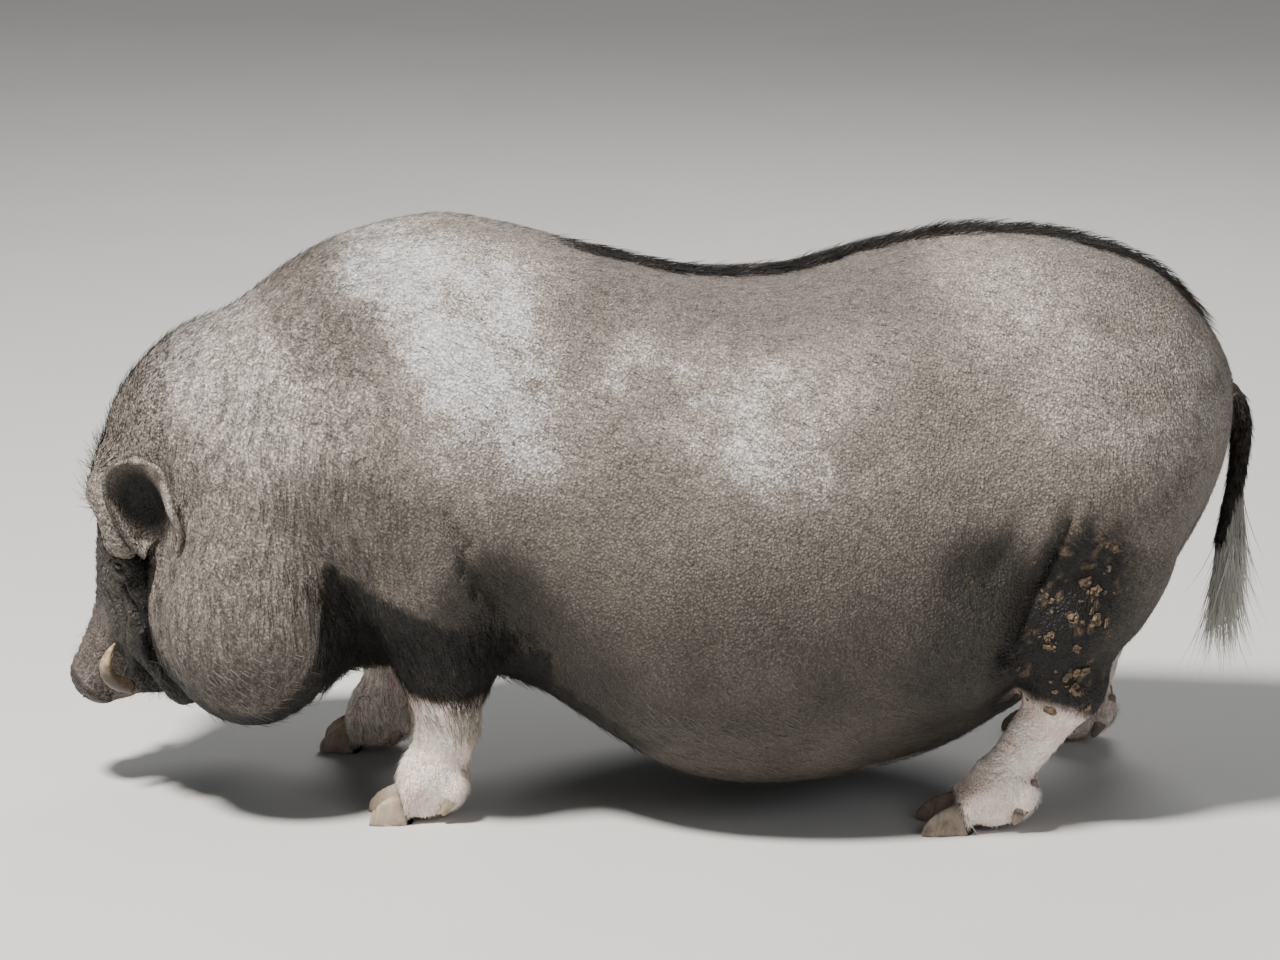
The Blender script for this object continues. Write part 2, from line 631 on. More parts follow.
# %% Creases: single folds on the skin
CREASES = [
    # points of the line on the right side, width, depth
    (((-0.508, 0.010, 0.262), (-0.512, 0.035, 0.268), (-0.501, 0.062, 0.260), (-0.486, 0.083, 0.243)), 0.0045, 0.0050),
    (((-0.512, 0.012, 0.290), (-0.514, 0.040, 0.292), (-0.503, 0.064, 0.284)), 0.0035, 0.0022),
    (((-0.510, 0.012, 0.312), (-0.511, 0.036, 0.314), (-0.503, 0.056, 0.308)), 0.0035, 0.0018),
    (((-0.499, 0.074, 0.226), (-0.480, 0.088, 0.213), (-0.470, 0.092, 0.190), (-0.468, 0.090, 0.165)), 0.0050, 0.0055),
    (((-0.515, 0.046, 0.226), (-0.508, 0.060, 0.205), (-0.497, 0.068, 0.182), (-0.496, 0.066, 0.160)), 0.0035, 0.0032),
    (((-0.470, 0.100, 0.258), (-0.463, 0.109, 0.235), (-0.460, 0.112, 0.205), (-0.456, 0.108, 0.165),
      (-0.443, 0.095, 0.130)), 0.0055, 0.0085),
    (((-0.448, 0.125, 0.250), (-0.430, 0.140, 0.262), (-0.405, 0.152, 0.300)), 0.0060, 0.0035),
    (((-0.390, 0.160, 0.350), (-0.378, 0.172, 0.305), (-0.373, 0.178, 0.260)), 0.0090, 0.0022),
    (((-0.340, 0.168, 0.370), (-0.328, 0.180, 0.325), (-0.318, 0.185, 0.280)), 0.0100, 0.0026),
    (((-0.185, 0.210, 0.320), (-0.168, 0.208, 0.275), (-0.148, 0.200, 0.235), (-0.125, 0.185, 0.190)), 0.0060, 0.0060),
    (((-0.215, 0.205, 0.270), (-0.198, 0.200, 0.235), (-0.170, 0.195, 0.210)), 0.0080, 0.0022),
    (((0.384, 0.190, 0.330), (0.370, 0.192, 0.290), (0.350, 0.190, 0.245), (0.322, 0.185, 0.190)), 0.0070, 0.0055),
    (((0.345, 0.200, 0.330), (0.325, 0.204, 0.285), (0.298, 0.202, 0.245)), 0.0110, 0.0028),
]


def crease_line(points, spacing=0.003):
    """The line through the points, laid on the skin at an even spacing."""
    line = []
    for one, two in zip(points, points[1:]):
        one, two = np.array(one), np.array(two)
        steps = max(int(np.linalg.norm(two - one) / spacing), 1)
        line += [one + (two - one) * k / steps for k in range(steps)]
    line.append(np.array(points[-1]))
    line = np.array(line)
    for _ in range(6):
        line[1:-1] = (line[:-2] + 2 * line[1:-1] + line[2:]) / 4
    return settle_on_skin(line)


def crease_depth(points, line, width, depth):
    """How far a crease moves the skin: in along its line, out beside it, weaker at its ends."""
    moved = np.zeros(len(points))
    near = ((points > line.min(axis=0) - 4 * width) & (points < line.max(axis=0) + 4 * width)).all(axis=1)
    if not near.any():
        return moved
    away = np.linalg.norm(points[near][:, None, :] - line[None, :, :], axis=2)
    place = away.argmin(axis=1) / (len(line) - 1)
    closest = away.min(axis=1) / width
    fade = np.sqrt(np.clip(np.minimum(place, 1 - place) * 5, 0.0, 1.0))
    profile = -np.exp(-closest ** 2) + 0.45 * np.exp(-((closest - 1.7) / 0.9) ** 2)
    moved[near] = depth * fade * profile
    return moved


def fold_sides(points):
    return points * (1, 0, 1) + np.abs(points) * (0, 1, 0)


CREASE_LINES = [(crease_line(points), width, depth) for points, width, depth in CREASES]
print(len(CREASE_LINES), "creases on each side")

# %% Waves: sets of fine wrinkles


def wave(phase):
    """Rounded ridges with narrow valleys, from -1 to 0.3."""
    return 1.3 * np.sqrt(np.abs(np.sin(phase * math.pi))) - 1.0


def band(value, low, high, edge):
    """1 between low and high, fading to 0 over the edge."""
    return ease(value, low - edge, low + edge) * (1 - ease(value, high - edge, high + edge))


def wrinkle_waves(p):
    """All sets of fine wrinkles, in metres along the normal."""
    x, y, z = p[:, 0], np.abs(p[:, 1]), p[:, 2]
    bend = noise(p, 0.020, 1)
    slow = noise(p, 0.055, 2)
    moved = np.zeros(len(p))
    # Snout: across its length, from the disc up to the eyes
    snout = band(z, 0.118, 0.238, 0.010) * (1 - ease(x, -0.490, -0.476)) * (1 - ease(y, 0.036, 0.052))
    moved += 0.00125 * snout * wave((z * 1.0 + x * 0.25) / 0.0105 + bend * 0.55)
    # Brow and forehead: across, closely set
    brow = band(z, 0.262, 0.335, 0.010) * (1 - ease(x, -0.486, -0.470))
    moved += 0.00130 * brow * wave(z / 0.0085 + bend * 0.6 + y * 12)
    # Round the eye and cheek: rings about the eye
    ring = np.sqrt((x - EYE_CENTRE.x) ** 2 + (y - EYE_CENTRE.y) ** 2 + (z - EYE_CENTRE.z) ** 2)
    moved += 0.0009 * band(ring, 0.020, 0.040, 0.004) * wave(ring / 0.0055 + bend * 0.3) * (1 - ease(x, -0.470, -0.460))
    # Lips and chin: along the jaw
    jaw = band(z, 0.090, 0.150, 0.010) * band(x, -0.505, -0.440, 0.008)
    moved += 0.0008 * jaw * wave((x + z * 0.7) / 0.0085 + bend * 0.5)
    # Jowl: soft lines that hang down behind the mouth
    jowl = band(x, -0.455, -0.330, 0.012) * band(z, 0.105, 0.270, 0.020)
    moved += 0.0008 * jowl * wave((x + 0.20 * z) / 0.0130 + slow * 1.2 + bend * 0.45)
    # Neck behind the ear: upright lines
    neck = band(x, -0.405, -0.255, 0.020) * band(z, 0.210, 0.400, 0.030) * ease(y, 0.06, 0.10)
    moved += 0.0011 * neck * wave((x + 0.22 * z) / 0.0125 + slow * 1.2 + bend * 0.45)
    # Shoulder and elbow
    elbow = band(x, -0.240, -0.070, 0.020) * band(z, 0.160, 0.290, 0.020) * ease(y, 0.09, 0.14)
    moved += 0.0007 * elbow * wave((x * 0.9 + 0.55 * z) / 0.0120 + slow * 1.2 + bend * 0.45)
    # Flank before the thigh, and the thigh
    flank = band(x, 0.250, 0.420, 0.020) * band(z, 0.160, 0.340, 0.025)
    moved += 0.0007 * flank * wave((x * 1.0 - 0.45 * z) / 0.0125 + slow * 1.2 + bend * 0.45)
    # Legs: rings at wrist, hock and fetlock
    leg = band(z, 0.052, 0.125, 0.012) * (ease(-x, 0.13, 0.14) + ease(x, 0.26, 0.28))
    moved += 0.0009 * leg * wave(z / 0.0085 + bend * 0.6)
    return moved


def unevenness(p):
    """Fat, muscle and bone under the skin, and its broad grain."""
    calm = 1 - 0.8 * ease(-p[:, 0], 0.44, 0.47)
    broad = noise(p, 0.110, 4) * 0.0022 + noise(p, 0.045, 5) * 0.0011
    fine = noise(p, 0.016, 6) * 0.00045 + noise(p, 0.0085, 8) * 0.00025
    return (broad + fine) * (calm * ease(p[:, 2], 0.04, 0.10))


SKIN_DEPTH = 0.0008       # how far the skin lies inside the solids


def wrinkle(mesh):
    points = corners_of(mesh)
    normals = normals_of(mesh)
    folded = fold_sides(points)
    moved = wrinkle_waves(points) + unevenness(points) - SKIN_DEPTH
    for line, width, depth in CREASE_LINES:
        moved += crease_depth(folded, line, width, depth) * (0.85 + 0.3 * noise(points, 0.03, 9))
    eye = np.linalg.norm(folded - np.array(EYE_CENTRE), axis=1)
    moved *= ease(eye, 0.0155, 0.0200)
    moved *= 1 - 0.9 * (1 - ease(points[:, 2], 0.010, 0.020))
    move_corners(mesh, points + normals * moved[:, None])
    return moved


moved = wrinkle(skin.data)
print("wrinkles move the skin by", [round(float(v) * 1000, 1) for v in (moved.min(), moved.max())], "mm")

# %% [markdown]
# ## Markings
# The pig is grey, with a dusty bloom where it is driest, browner underneath, black on the
# face, forearms and thighs, and pale on the feet. Skin and coat have to carry the same
# markings, so these are worked out once, by place on the body, and stored on each mesh as
# attributes. The shaders then only mix colours by them and add grain.

# %% The markings by place
MARKS = ("black", "pale", "dust", "bloom", "earth", "snout", "mud", "crepe")
PALE_BONES = {
    LEFT: (Rod((-0.190, -0.112, 0.112), (-0.204, -0.112, 0.030), 0.030, 0.040),
           Rod((0.366, -0.140, 0.100), (0.322, -0.140, 0.020), 0.030, 0.045)),
    RIGHT: (Rod((-0.248, 0.108, 0.112), (-0.262, 0.108, 0.030), 0.030, 0.040),
            Rod((0.446, 0.134, 0.110), (0.420, 0.136, 0.020), 0.030, 0.045)),
}

BROW = Rod((-0.507, 0.070, 0.304), (-0.491, 0.104, 0.262), 0.014, 0.019)
BLACK_EDGE = np.array([                # upper edge of the black in side view: X and height
    (-0.470, 0.200), (-0.461, 0.172), (-0.451, 0.156), (-0.4245, 0.126), (-0.392, 0.107), (-0.368, 0.107),
    (-0.330, 0.124), (-0.314, 0.150), (-0.304, 0.175), (-0.300, 0.262), (-0.289, 0.256), (-0.255, 0.235),
    (-0.217, 0.218), (-0.198, 0.211), (-0.120, 0.175)])


def near_line(p, line, reach):
    """1 on a line drawn in side view, fading to 0 at this distance from it."""
    flat = p * (1, 0, 1)
    away = np.full(len(p), 9.0)
    for (x0, z0), (x1, z1) in zip(line, line[1:]):
        away = np.minimum(away, Rod((x0, 0, z0), (x1, 0, z1), 0.0, 0.0).distance(flat))
    return 1 - ease(away, 0.35 * reach, reach)


def markings(p, up):
    """Shares from 0 to 1 of each marking. Up is the upward part of the surface's normal."""
    x, side, y, z = p[:, 0], p[:, 1], np.abs(p[:, 1]), p[:, 2]
    patch = rough_noise(p, 0.034, 11)
    ragged = rough_noise(p, 0.009, 12)
    blotch = rough_noise(p, 0.090, 13)
    edge = 0.010 * patch + 0.006 * ragged
    moved = p + edge[:, None]
    pale = np.zeros(len(p))
    for bones in PALE_BONES.values():
        for bone in bones:
            pale = np.maximum(pale, 1 - ease(bone.distance(moved), 0.004, 0.018))
    # The face is black up to the jowl's front edge, but for the grey brow
    face = (1 - ease(x, -0.467, -0.459)) * (1 - ease(z + edge, 0.262, 0.285))
    forehead = 0.9 * near_line(moved, ((-0.536, 0.330), (-0.533, 0.235)), 0.024) * (1 - ease(y, 0.040, 0.070))
    brow = 1 - ease(BROW.distance(fold_sides(moved)), 0.000, 0.010)
    nape = (1 - ease(x, -0.49, -0.44)) * ease(z, 0.335, 0.380) * 0.35
    # It runs on under the jowl, up its rear edge and down the forearm
    top = np.interp(x + 0.4 * edge, BLACK_EDGE[:, 0], BLACK_EDGE[:, 1])
    under = (1 - ease(z + edge - top, -0.004, 0.009)) * (x < -0.09) * (x > -0.47)
    belly = near_line(moved, ((-0.150, 0.205), (-0.128, 0.170), (-0.075, 0.115), (-0.020, 0.080)), 0.030) * 0.8
    thigh = near_line(moved, ((0.395, 0.258), (0.372, 0.205), (0.342, 0.155), (0.400, 0.130)), 0.066) * ease(y, 0.085, 0.11)
    spots = 0.5 * (ragged > 0.50) * band(z, 0.20, 0.32, 0.03) * ease(x, 0.30, 0.36)
    hollow = np.maximum(0.45 * near_line(p, ((-0.145, 0.215), (-0.070, 0.150)), 0.085),
                        0.55 * near_line(p, ((0.305, 0.250), (0.285, 0.165)), 0.075))
    disc = 0.75 * (1 - ease((p - np.array(NOSE_CENTRE)) @ -np.array(NOSE_NORMAL), -0.002, 0.006))
    black = np.clip(np.max((face, nape, under, belly, thigh, spots, hollow), axis=0), 0.0, 1.0)
    black = black * (1 - 0.85 * brow)
    snout = (1 - ease(x, -0.492, -0.474)) * (1 - ease(z + 0.5 * edge, 0.165, 0.190)) * (1 - ease(y, 0.046, 0.060))
    low = 1 - ease(z + 0.6 * edge - 0.07 * np.clip(up, -1, 1), 0.165, 0.375)
    low = low * (0.35 + 0.65 * ease(x, -0.36, -0.10))
    hollows = np.maximum(near_line(p, ((-0.145, 0.215), (-0.070, 0.150)), 0.100),
                         near_line(p, ((0.302, 0.245), (0.285, 0.165)), 0.080))
    jowl_low = (1 - ease(x, -0.290, -0.270)) * (1 - ease(z, 0.120, 0.215)) * 0.95
    upper_arm = 0.50 * near_line(p, ((-0.275, 0.300), (-0.190, 0.265)), 0.090)
    low = np.max((low, 0.95 * hollows, jowl_low, upper_arm), axis=0)
    hump = near_line(p, ((-0.235, 0.505), (-0.165, 0.470), (-0.130, 0.400)), 0.105)
    ribs = near_line(p, ((0.010, 0.425), (0.100, 0.395), (0.165, 0.375)), 0.090)
    rump = near_line(p, ((0.330, 0.470), (0.480, 0.400)), 0.090)
    neck = near_line(p, ((-0.400, 0.440), (-0.330, 0.400)), 0.100)
    bloom = np.clip((0.90 * hump + 0.70 * ribs + 0.30 * rump + 0.25 * neck) * (0.62 + 0.6 * blotch + 0.55 * patch), 0.0, 0.9)
    fore_light = 1 - ease(x, -0.34, -0.10)
    dust = 0.22 + 0.34 * fore_light + 0.45 * bloom + 0.22 * rump + 0.40 * neck + 0.20 * blotch
    dust = np.clip(dust, 0.0, 1.0) * (1 - 0.85 * low)
    dull = np.maximum(0.8 * near_line(p, ((-0.320, 0.500), (-0.290, 0.460)), 0.060),
                      near_line(p, ((-0.020, 0.520), (0.060, 0.500), (0.200, 0.520)), 0.070))
    dust, bloom = dust * (1 - 0.5 * dull), bloom * (1 - 0.8 * dull)
    earth = np.clip(low * (0.80 + 0.4 * blotch) + 0.22 * dull, 0.0, 1.0)
    mud = (0.9 * (rough_noise(p, 0.0075, 14) > 0.36) * near_line(p, ((0.400, 0.270), (0.375, 0.160)), 0.060)
           + 0.5 * (rough_noise(p, 0.010, 15) > 0.50) * (1 - ease(z, 0.02, 0.06))
           + 0.25 * (rough_noise(p, 0.014, 16) > 0.62))
    crepe = np.max((1 - ease(x, -0.30, -0.12), 0.55 * ease(x, 0.30, 0.42), 0.30 * np.ones(len(p))), axis=0)
    crepe = crepe * (0.35 + 0.65 * ease(x, -0.475, -0.445))
    brownish = 0.27 * (1 - ease(x, -0.495, -0.470)) * ease(z, 0.12, 0.15)
    black = np.maximum(black * (1 - 0.92 * snout), disc * (x < -0.50)) * (1 - brownish)
    spine = 0.85 * (1 - ease(y, 0.009, 0.019)) * band(x, -0.070, 0.500, 0.030) * ease(z, 0.400, 0.440)
    black = np.max((black, forehead, spine), axis=0)
    return {"black": black * (1 - pale), "pale": pale, "dust": dust, "bloom": bloom, "earth": earth, "snout": snout,
            "mud": np.clip(mud, 0.0, 1.0), "crepe": crepe}


def store(mesh, name, values):
    attribute = mesh.attributes.new(name, "FLOAT", "POINT")
    attribute.data.foreach_set("value", np.asarray(values, dtype=np.float32))


skin_points, skin_normals = corners_of(skin.data), normals_of(skin.data)
for name, values in markings(skin_points, skin_normals[:, 2]).items():
    store(skin.data, name, values)
    print(name, "covers", round(float(values.mean()) * 100), "% of the corners")

# %% [markdown]
# ## Shader maths as Python
# Nodes joined by hand are hard to read later. A small class wraps a socket, so that sums,
# products and mixes can be written as expressions, and one method makes every other node.

# %% A socket that does arithmetic


class Wire:
    """A shader socket that can be used in expressions."""

    def __init__(self, tree, socket):
        self.tree, self.socket = tree, socket

    def make(self, kind, settings=None, inputs=None, out=0):
        """Adds a node of any kind, first its settings and then its inputs, and gives one output."""
        node = self.tree.nodes.new(kind)
        for name, value in (settings or {}).items():
            if name == "stops":
                self.set_stops(node.color_ramp, value)
            else:
                setattr(node, name, value)
        for name, value in (inputs or {}).items():
            if isinstance(value, Wire):
                self.tree.links.new(value.socket, node.inputs[name])
            else:
                node.inputs[name].default_value = value
        return Wire(self.tree, node.outputs[out])

    @staticmethod
    def set_stops(ramp, stops):
        while len(ramp.elements) < len(stops):
            ramp.elements.new(0.5)
        for element, (place, colour) in zip(ramp.elements, stops):
            element.position = place
            element.color = colour

    def is_number(self):
        return self.socket.type == "VALUE"

    def maths(self, operation, one, two):
        if self.is_number():
            return self.make("ShaderNodeMath", {"operation": operation}, {0: one, 1: two})
        pair = [value if isinstance(value, Wire) or hasattr(value, "__len__") else (value,) * 3 for value in (one, two)]
        return self.make("ShaderNodeVectorMath", {"operation": operation}, {0: pair[0], 1: pair[1]})

    def __add__(self, other):
        return self.maths("ADD", self, other)

    def __radd__(self, other):
        return self.maths("ADD", other, self)

    def __sub__(self, other):
        return self.maths("SUBTRACT", self, other)

    def __rsub__(self, other):
        return self.maths("SUBTRACT", other, self)

    def __mul__(self, other):
        return self.maths("MULTIPLY", self, other)

    def __rmul__(self, other):
        return self.maths("MULTIPLY", other, self)

    def mix(self, one, two, share):
        """One colour where share is 0 and the other where it is 1."""
        settings = {"data_type": "RGBA", "clamp_factor": True}
        return self.make("ShaderNodeMix", settings, {0: share, 6: one, 7: two}, out=2)

    def blend(self, other, share):
        """This colour where share is 0 and the other where it is 1."""
        return self.mix(self, other, share)

    def shade(self, strength):
        """This colour made lighter or darker by a number."""
        settings = {"data_type": "RGBA", "blend_type": "MULTIPLY"}
        grey = self.make("ShaderNodeCombineColor", None, {0: strength, 1: strength, 2: strength})
        return self.make("ShaderNodeMix", settings, {0: 1.0, 6: self, 7: grey}, out=2)

    def ramp(self, low, high):
        """0 below low, 1 above high, and smooth between them."""
        settings = {"interpolation_type": "SMOOTHSTEP"}
        return self.make("ShaderNodeMapRange", settings, {"Value": self, "From Min": low, "From Max": high})

    def grain(self, scale, detail=3.0, roughness=0.55):
        """Noise from 0 to 1 at this place."""
        inputs = {"Vector": self, "Scale": scale, "Detail": detail, "Roughness": roughness}
        return self.make("ShaderNodeTexNoise", None, inputs)

    def cells(self, scale, feature="F1"):
        """Distance within small cells, as in pebbled skin."""
        return self.make("ShaderNodeTexVoronoi", {"feature": feature}, {"Vector": self, "Scale": scale})

    def marking(self, name):
        """A share that is stored on the mesh."""
        return self.make("ShaderNodeAttribute", {"attribute_name": name}, None, out="Fac")


def start_material(name):
    """A new material: gives it, its shader and the place on the pig as a wire."""
    material = bpy.data.materials.new(name)
    material.use_nodes = True
    tree = material.node_tree
    shader = tree.nodes["Principled BSDF"]
    place = Wire(tree, shader.inputs["Normal"]).make("ShaderNodeTexCoord", None, None, out="Object")
    return material, shader, place


def finish_material(shader, values):
    """Links wires and sets plain values on the shader."""
    for name, value in values.items():
        if isinstance(value, Wire):
            value.tree.links.new(value.socket, shader.inputs[name])
        else:
            shader.inputs[name].default_value = value


def bump(place, height, depth, strength=1.0, below=None):
    """Turns a height from 0 to 1 into a normal. Depth is in metres."""
    inputs = {"Height": height, "Distance": depth, "Strength": strength}
    if below is not None:
        inputs["Normal"] = below
    return place.make("ShaderNodeBump", None, inputs)


print("sockets can now be added and multiplied")

# %% [markdown]
# ## The skin's finish
# A pig's hide is dull and pebbled, with crossing lines that divide it into small fields.
# Dust lies on it and leaves the lines dark. Cells and noise make the height for a bump, and
# the same cells darken the colour between the pebbles, so that both agree.

# %% Skin colours and material
GREY_HIDE = (0.135, 0.114, 0.096, 1.0)
DUSTY_HIDE = (0.460, 0.400, 0.345, 1.0)
BLUE_BLOOM = (0.600, 0.590, 0.600, 1.0)
WHITE_SCURF = (0.780, 0.770, 0.760, 1.0)
EARTHY_HIDE = (0.029, 0.025, 0.019, 1.0)
BLACK_HIDE = (0.006, 0.0055, 0.005, 1.0)
PALE_HIDE = (0.940, 0.860, 0.790, 1.0)
PINK_HIDE = (0.680, 0.400, 0.330, 1.0)
SNOUT_HIDE = (0.140, 0.114, 0.101, 1.0)
DRIED_MUD = (0.150, 0.105, 0.065, 1.0)
UPRIGHT_LINES = (1.0, 1.0, 0.11)       # squeezes the grain's place along Z, which stretches it


def hide_material(name):
    """The pig's hide with its markings and its creped, pebbled grain."""
    material, shader, place = start_material(name)
    broad = place.grain(9.0)
    patchy = place.grain(38.0, detail=5.0)
    speckle = place.grain(150.0, detail=4.0, roughness=0.6)
    fine = place.grain(480.0, detail=3.0)
    flecks = fine.ramp(0.36, 0.64)
    pebble = place.cells(360.0)
    drawn = place + place.make("ShaderNodeTexNoise", None, {"Vector": place, "Scale": 22.0}, out="Color") * 0.012
    lines = (drawn * UPRIGHT_LINES).grain(430.0, detail=2.0, roughness=0.5)
    ridges = lines.ramp(0.36, 0.60)
    folds = (drawn * UPRIGHT_LINES).grain(125.0, detail=1.0).ramp(0.34, 0.56)
    crepe, dust = place.marking("crepe"), place.marking("dust")
    creased = (crepe - 0.35).ramp(0.0, 0.65)
    hide = place.mix(GREY_HIDE, DUSTY_HIDE, dust * (0.35 + 1.2 * patchy))
    specks = (dust * 0.9 + place.marking("bloom") * 0.55 + speckle * 1.1 + patchy * 0.5 + flecks * 0.35).ramp(1.50, 2.10)
    hide = hide.blend(BLUE_BLOOM, specks * (0.25 + 0.75 * place.marking("bloom")))
    hide = hide.blend(WHITE_SCURF, fine.ramp(0.62, 0.70) * dust)
    hide = hide.blend(EARTHY_HIDE, place.marking("earth") * (0.72 + 0.4 * broad))
    hide = hide.blend(SNOUT_HIDE, place.marking("snout"))
    hide = hide.blend(BLACK_HIDE, place.marking("black") * (0.70 + 0.6 * patchy))
    pale = place.mix(PALE_HIDE, PINK_HIDE, patchy.ramp(0.30, 0.80) * 0.75)
    hide = hide.blend(pale, place.marking("pale"))
    hide = hide.blend(DRIED_MUD, place.marking("mud") * 0.8)
    worn = 0.34 + 0.42 * patchy + 0.40 * speckle + 0.58 * flecks
    clean = place.marking("pale")
    hide = hide.shade(worn + clean * (1 - worn) * 0.8)
    hide = hide.shade(1.12 - pebble.ramp(0.15, 0.75) * 0.42 * (1 - 0.6 * clean))
    hide = hide.shade((1.0 - crepe * 0.40 * (1 - ridges)) * (1.0 - creased * 0.34 * (1 - folds)))
    height = fine * 0.2 + (1 - pebble.ramp(0.0, 0.8)) * (0.75 - 0.35 * crepe) + ridges * crepe * 0.8 + folds * creased * 1.1
    finish_material(shader, {
        "Base Color": hide,
        "Roughness": 0.68 - 0.22 * speckle,
        "Specular IOR Level": 0.32,
        "Normal": bump(place, height, 0.0014, 0.9),
    })
    return material


skin.data.materials.clear()
skin.data.materials.append(hide_material("pebbled_hide"))
for face in skin.data.polygons:
    face.use_smooth = True
print("hide has", len(skin.data.materials[0].node_tree.nodes), "nodes")

# %% [markdown]
# ## Ears
# The ear is a cup of thin cartilage that opens outwards and forwards, with a rolled back
# rim. It is laid out as a grid: one direction runs from root to tip, the other around the
# cup. A formula gives each corner, and a Solidify modifier gives the thickness.

# %% The ears
EAR_BASE = Vector((-0.4510, -0.1245, 0.2600))
EAR_AXIS = Vector((-0.35, -0.24, 0.91)).normalized()
EAR_MOUTH = Vector((-0.32, -0.92, -0.22))
EAR_MOUTH = (EAR_MOUTH - EAR_AXIS * EAR_MOUTH.dot(EAR_AXIS)).normalized()
EAR_ACROSS = EAR_MOUTH.cross(EAR_AXIS).normalized()
EAR_LENGTH = 0.089
EAR_WIDTH = 0.038
EAR_WIDEST = 0.50        # share of the ear's length where it is widest
EAR_DEPTH = 0.024
EAR_THICKNESS = 0.0040
EAR_ROWS, EAR_COLUMNS = 46, 60


def ear_point(along, around, side):
    """A place on the ear's cup. Around runs from -1 at its back rim to 1 at its front rim."""
    from_middle = abs(along - EAR_WIDEST) / (EAR_WIDEST * 1.12 if along < EAR_WIDEST else 1.0 - EAR_WIDEST)
    width = EAR_WIDTH * max(1.0 - from_middle ** 2.4, 0.0) ** 0.42 + 0.001
    depth = EAR_DEPTH * (1.0 - 0.45 * along ** 2)
    curl = math.radians(112 - 34 * along)
    angle = around * curl
    roll = 0.30 * max(-around, 0.0) ** 3 * math.sin(math.pi * min(along * 1.15, 1.0))
    lobe = 0.019 * math.exp(-((around + 0.58) / 0.26) ** 2) * math.sin(math.pi * min(along * 1.25, 1.0))
    across = width * math.sin(angle) * (1.0 - roll) / max(math.sin(min(curl, math.pi / 2)), 0.5)
    across *= 1.0 - 0.40 * max(around, 0.0) * (1.0 - along)
    deep = depth * math.cos(angle) + 0.012 * roll
    ripple = 0.0016 * math.sin(around * 9 + along * 5) * along * (1 - along) * 2
    deep = deep + ripple - lobe
    place = EAR_BASE + EAR_AXIS * (along * EAR_LENGTH) + EAR_ACROSS * across - EAR_MOUTH * deep
    place = place - EAR_MOUTH * 0.010 * along ** 2
    return Vector((place.x, place.y * -side, place.z))


def make_ear(side, name):
    bm = bmesh.new()
    grid = [[bm.verts.new(ear_point(i / (EAR_ROWS - 1), 2 * k / (EAR_COLUMNS - 1) - 1, side))
             for k in range(EAR_COLUMNS)] for i in range(EAR_ROWS)]
    for i in range(EAR_ROWS - 1):
        for k in range(EAR_COLUMNS - 1):
            bm.faces.new((grid[i][k], grid[i][k + 1], grid[i + 1][k + 1], grid[i + 1][k]))
    if side == LEFT:
        bmesh.ops.reverse_faces(bm, faces=bm.faces)
    mesh = bpy.data.meshes.new(name)
    bm.to_mesh(mesh)
    bm.free()
    ear = add_object(name, mesh)
    thick = ear.modifiers.new("thick", "SOLIDIFY")
    thick.thickness = EAR_THICKNESS
    thick.offset = 0.0
    apply_modifiers(ear)
    points, normals = corners_of(ear.data), normals_of(ear.data)
    veins = rough_noise(points, 0.012, 21) * 0.0006 + noise(points, 0.004, 22) * 0.0002
    move_corners(ear.data, points + normals * veins[:, None])
    for face in ear.data.polygons:
        face.use_smooth = True
    return ear


ears = {side: make_ear(side, f"ear_cup_{word}") for side, word in SIDES}
for side, ear in ears.items():
    points = corners_of(ear.data)
    for name in MARKS:
        store(ear.data, name, np.full(len(points), {"dust": 0.55, "crepe": 0.3}.get(name, 0.0)))
    mouth = np.array((EAR_MOUTH.x, EAR_MOUTH.y * -side, EAR_MOUTH.z))
    base = np.array((EAR_BASE.x, EAR_BASE.y * -side, EAR_BASE.z))
    across = np.array((EAR_ACROSS.x, EAR_ACROSS.y * -side, EAR_ACROSS.z))
    facing, forward = normals_of(ear.data) @ mouth, (points - base) @ across
    axis = np.array((EAR_AXIS.x, EAR_AXIS.y * -side, EAR_AXIS.z))
    from_hole = np.hypot((forward - 0.006) / 0.025, ((points - base) @ axis - 0.044) / 0.034)
    inside = ease(facing, 0.1, 0.4) * (1 - ease(from_hole, 0.70, 1.20))
    shaded = 0.75 * ease(facing, 0.1, 0.4) * ease(forward, -0.014, -0.006)
    ear.data.attributes["black"].data.foreach_set("value", (0.08 + 0.91 * inside).astype(np.float32))
    ear.data.attributes["earth"].data.foreach_set("value", shaded.astype(np.float32))
    ear.data.materials.append(skin.data.materials[0])
print("ears", [len(ear.data.polygons) for ear in ears.values()], "faces")

# %% [markdown]
# ## Eyes
# A pig's eye is small, dark brown and wet, and only a slit of it shows between the lids. It
# is a ball with a bulged cornea. Iris, pupil and the dull white are told apart by how far
# a place is from the axis along which the eye looks.

# %% The eyes
PUPIL_REACH, IRIS_REACH = 0.0030, 0.0062
CORNEA_BULGE = 0.0007


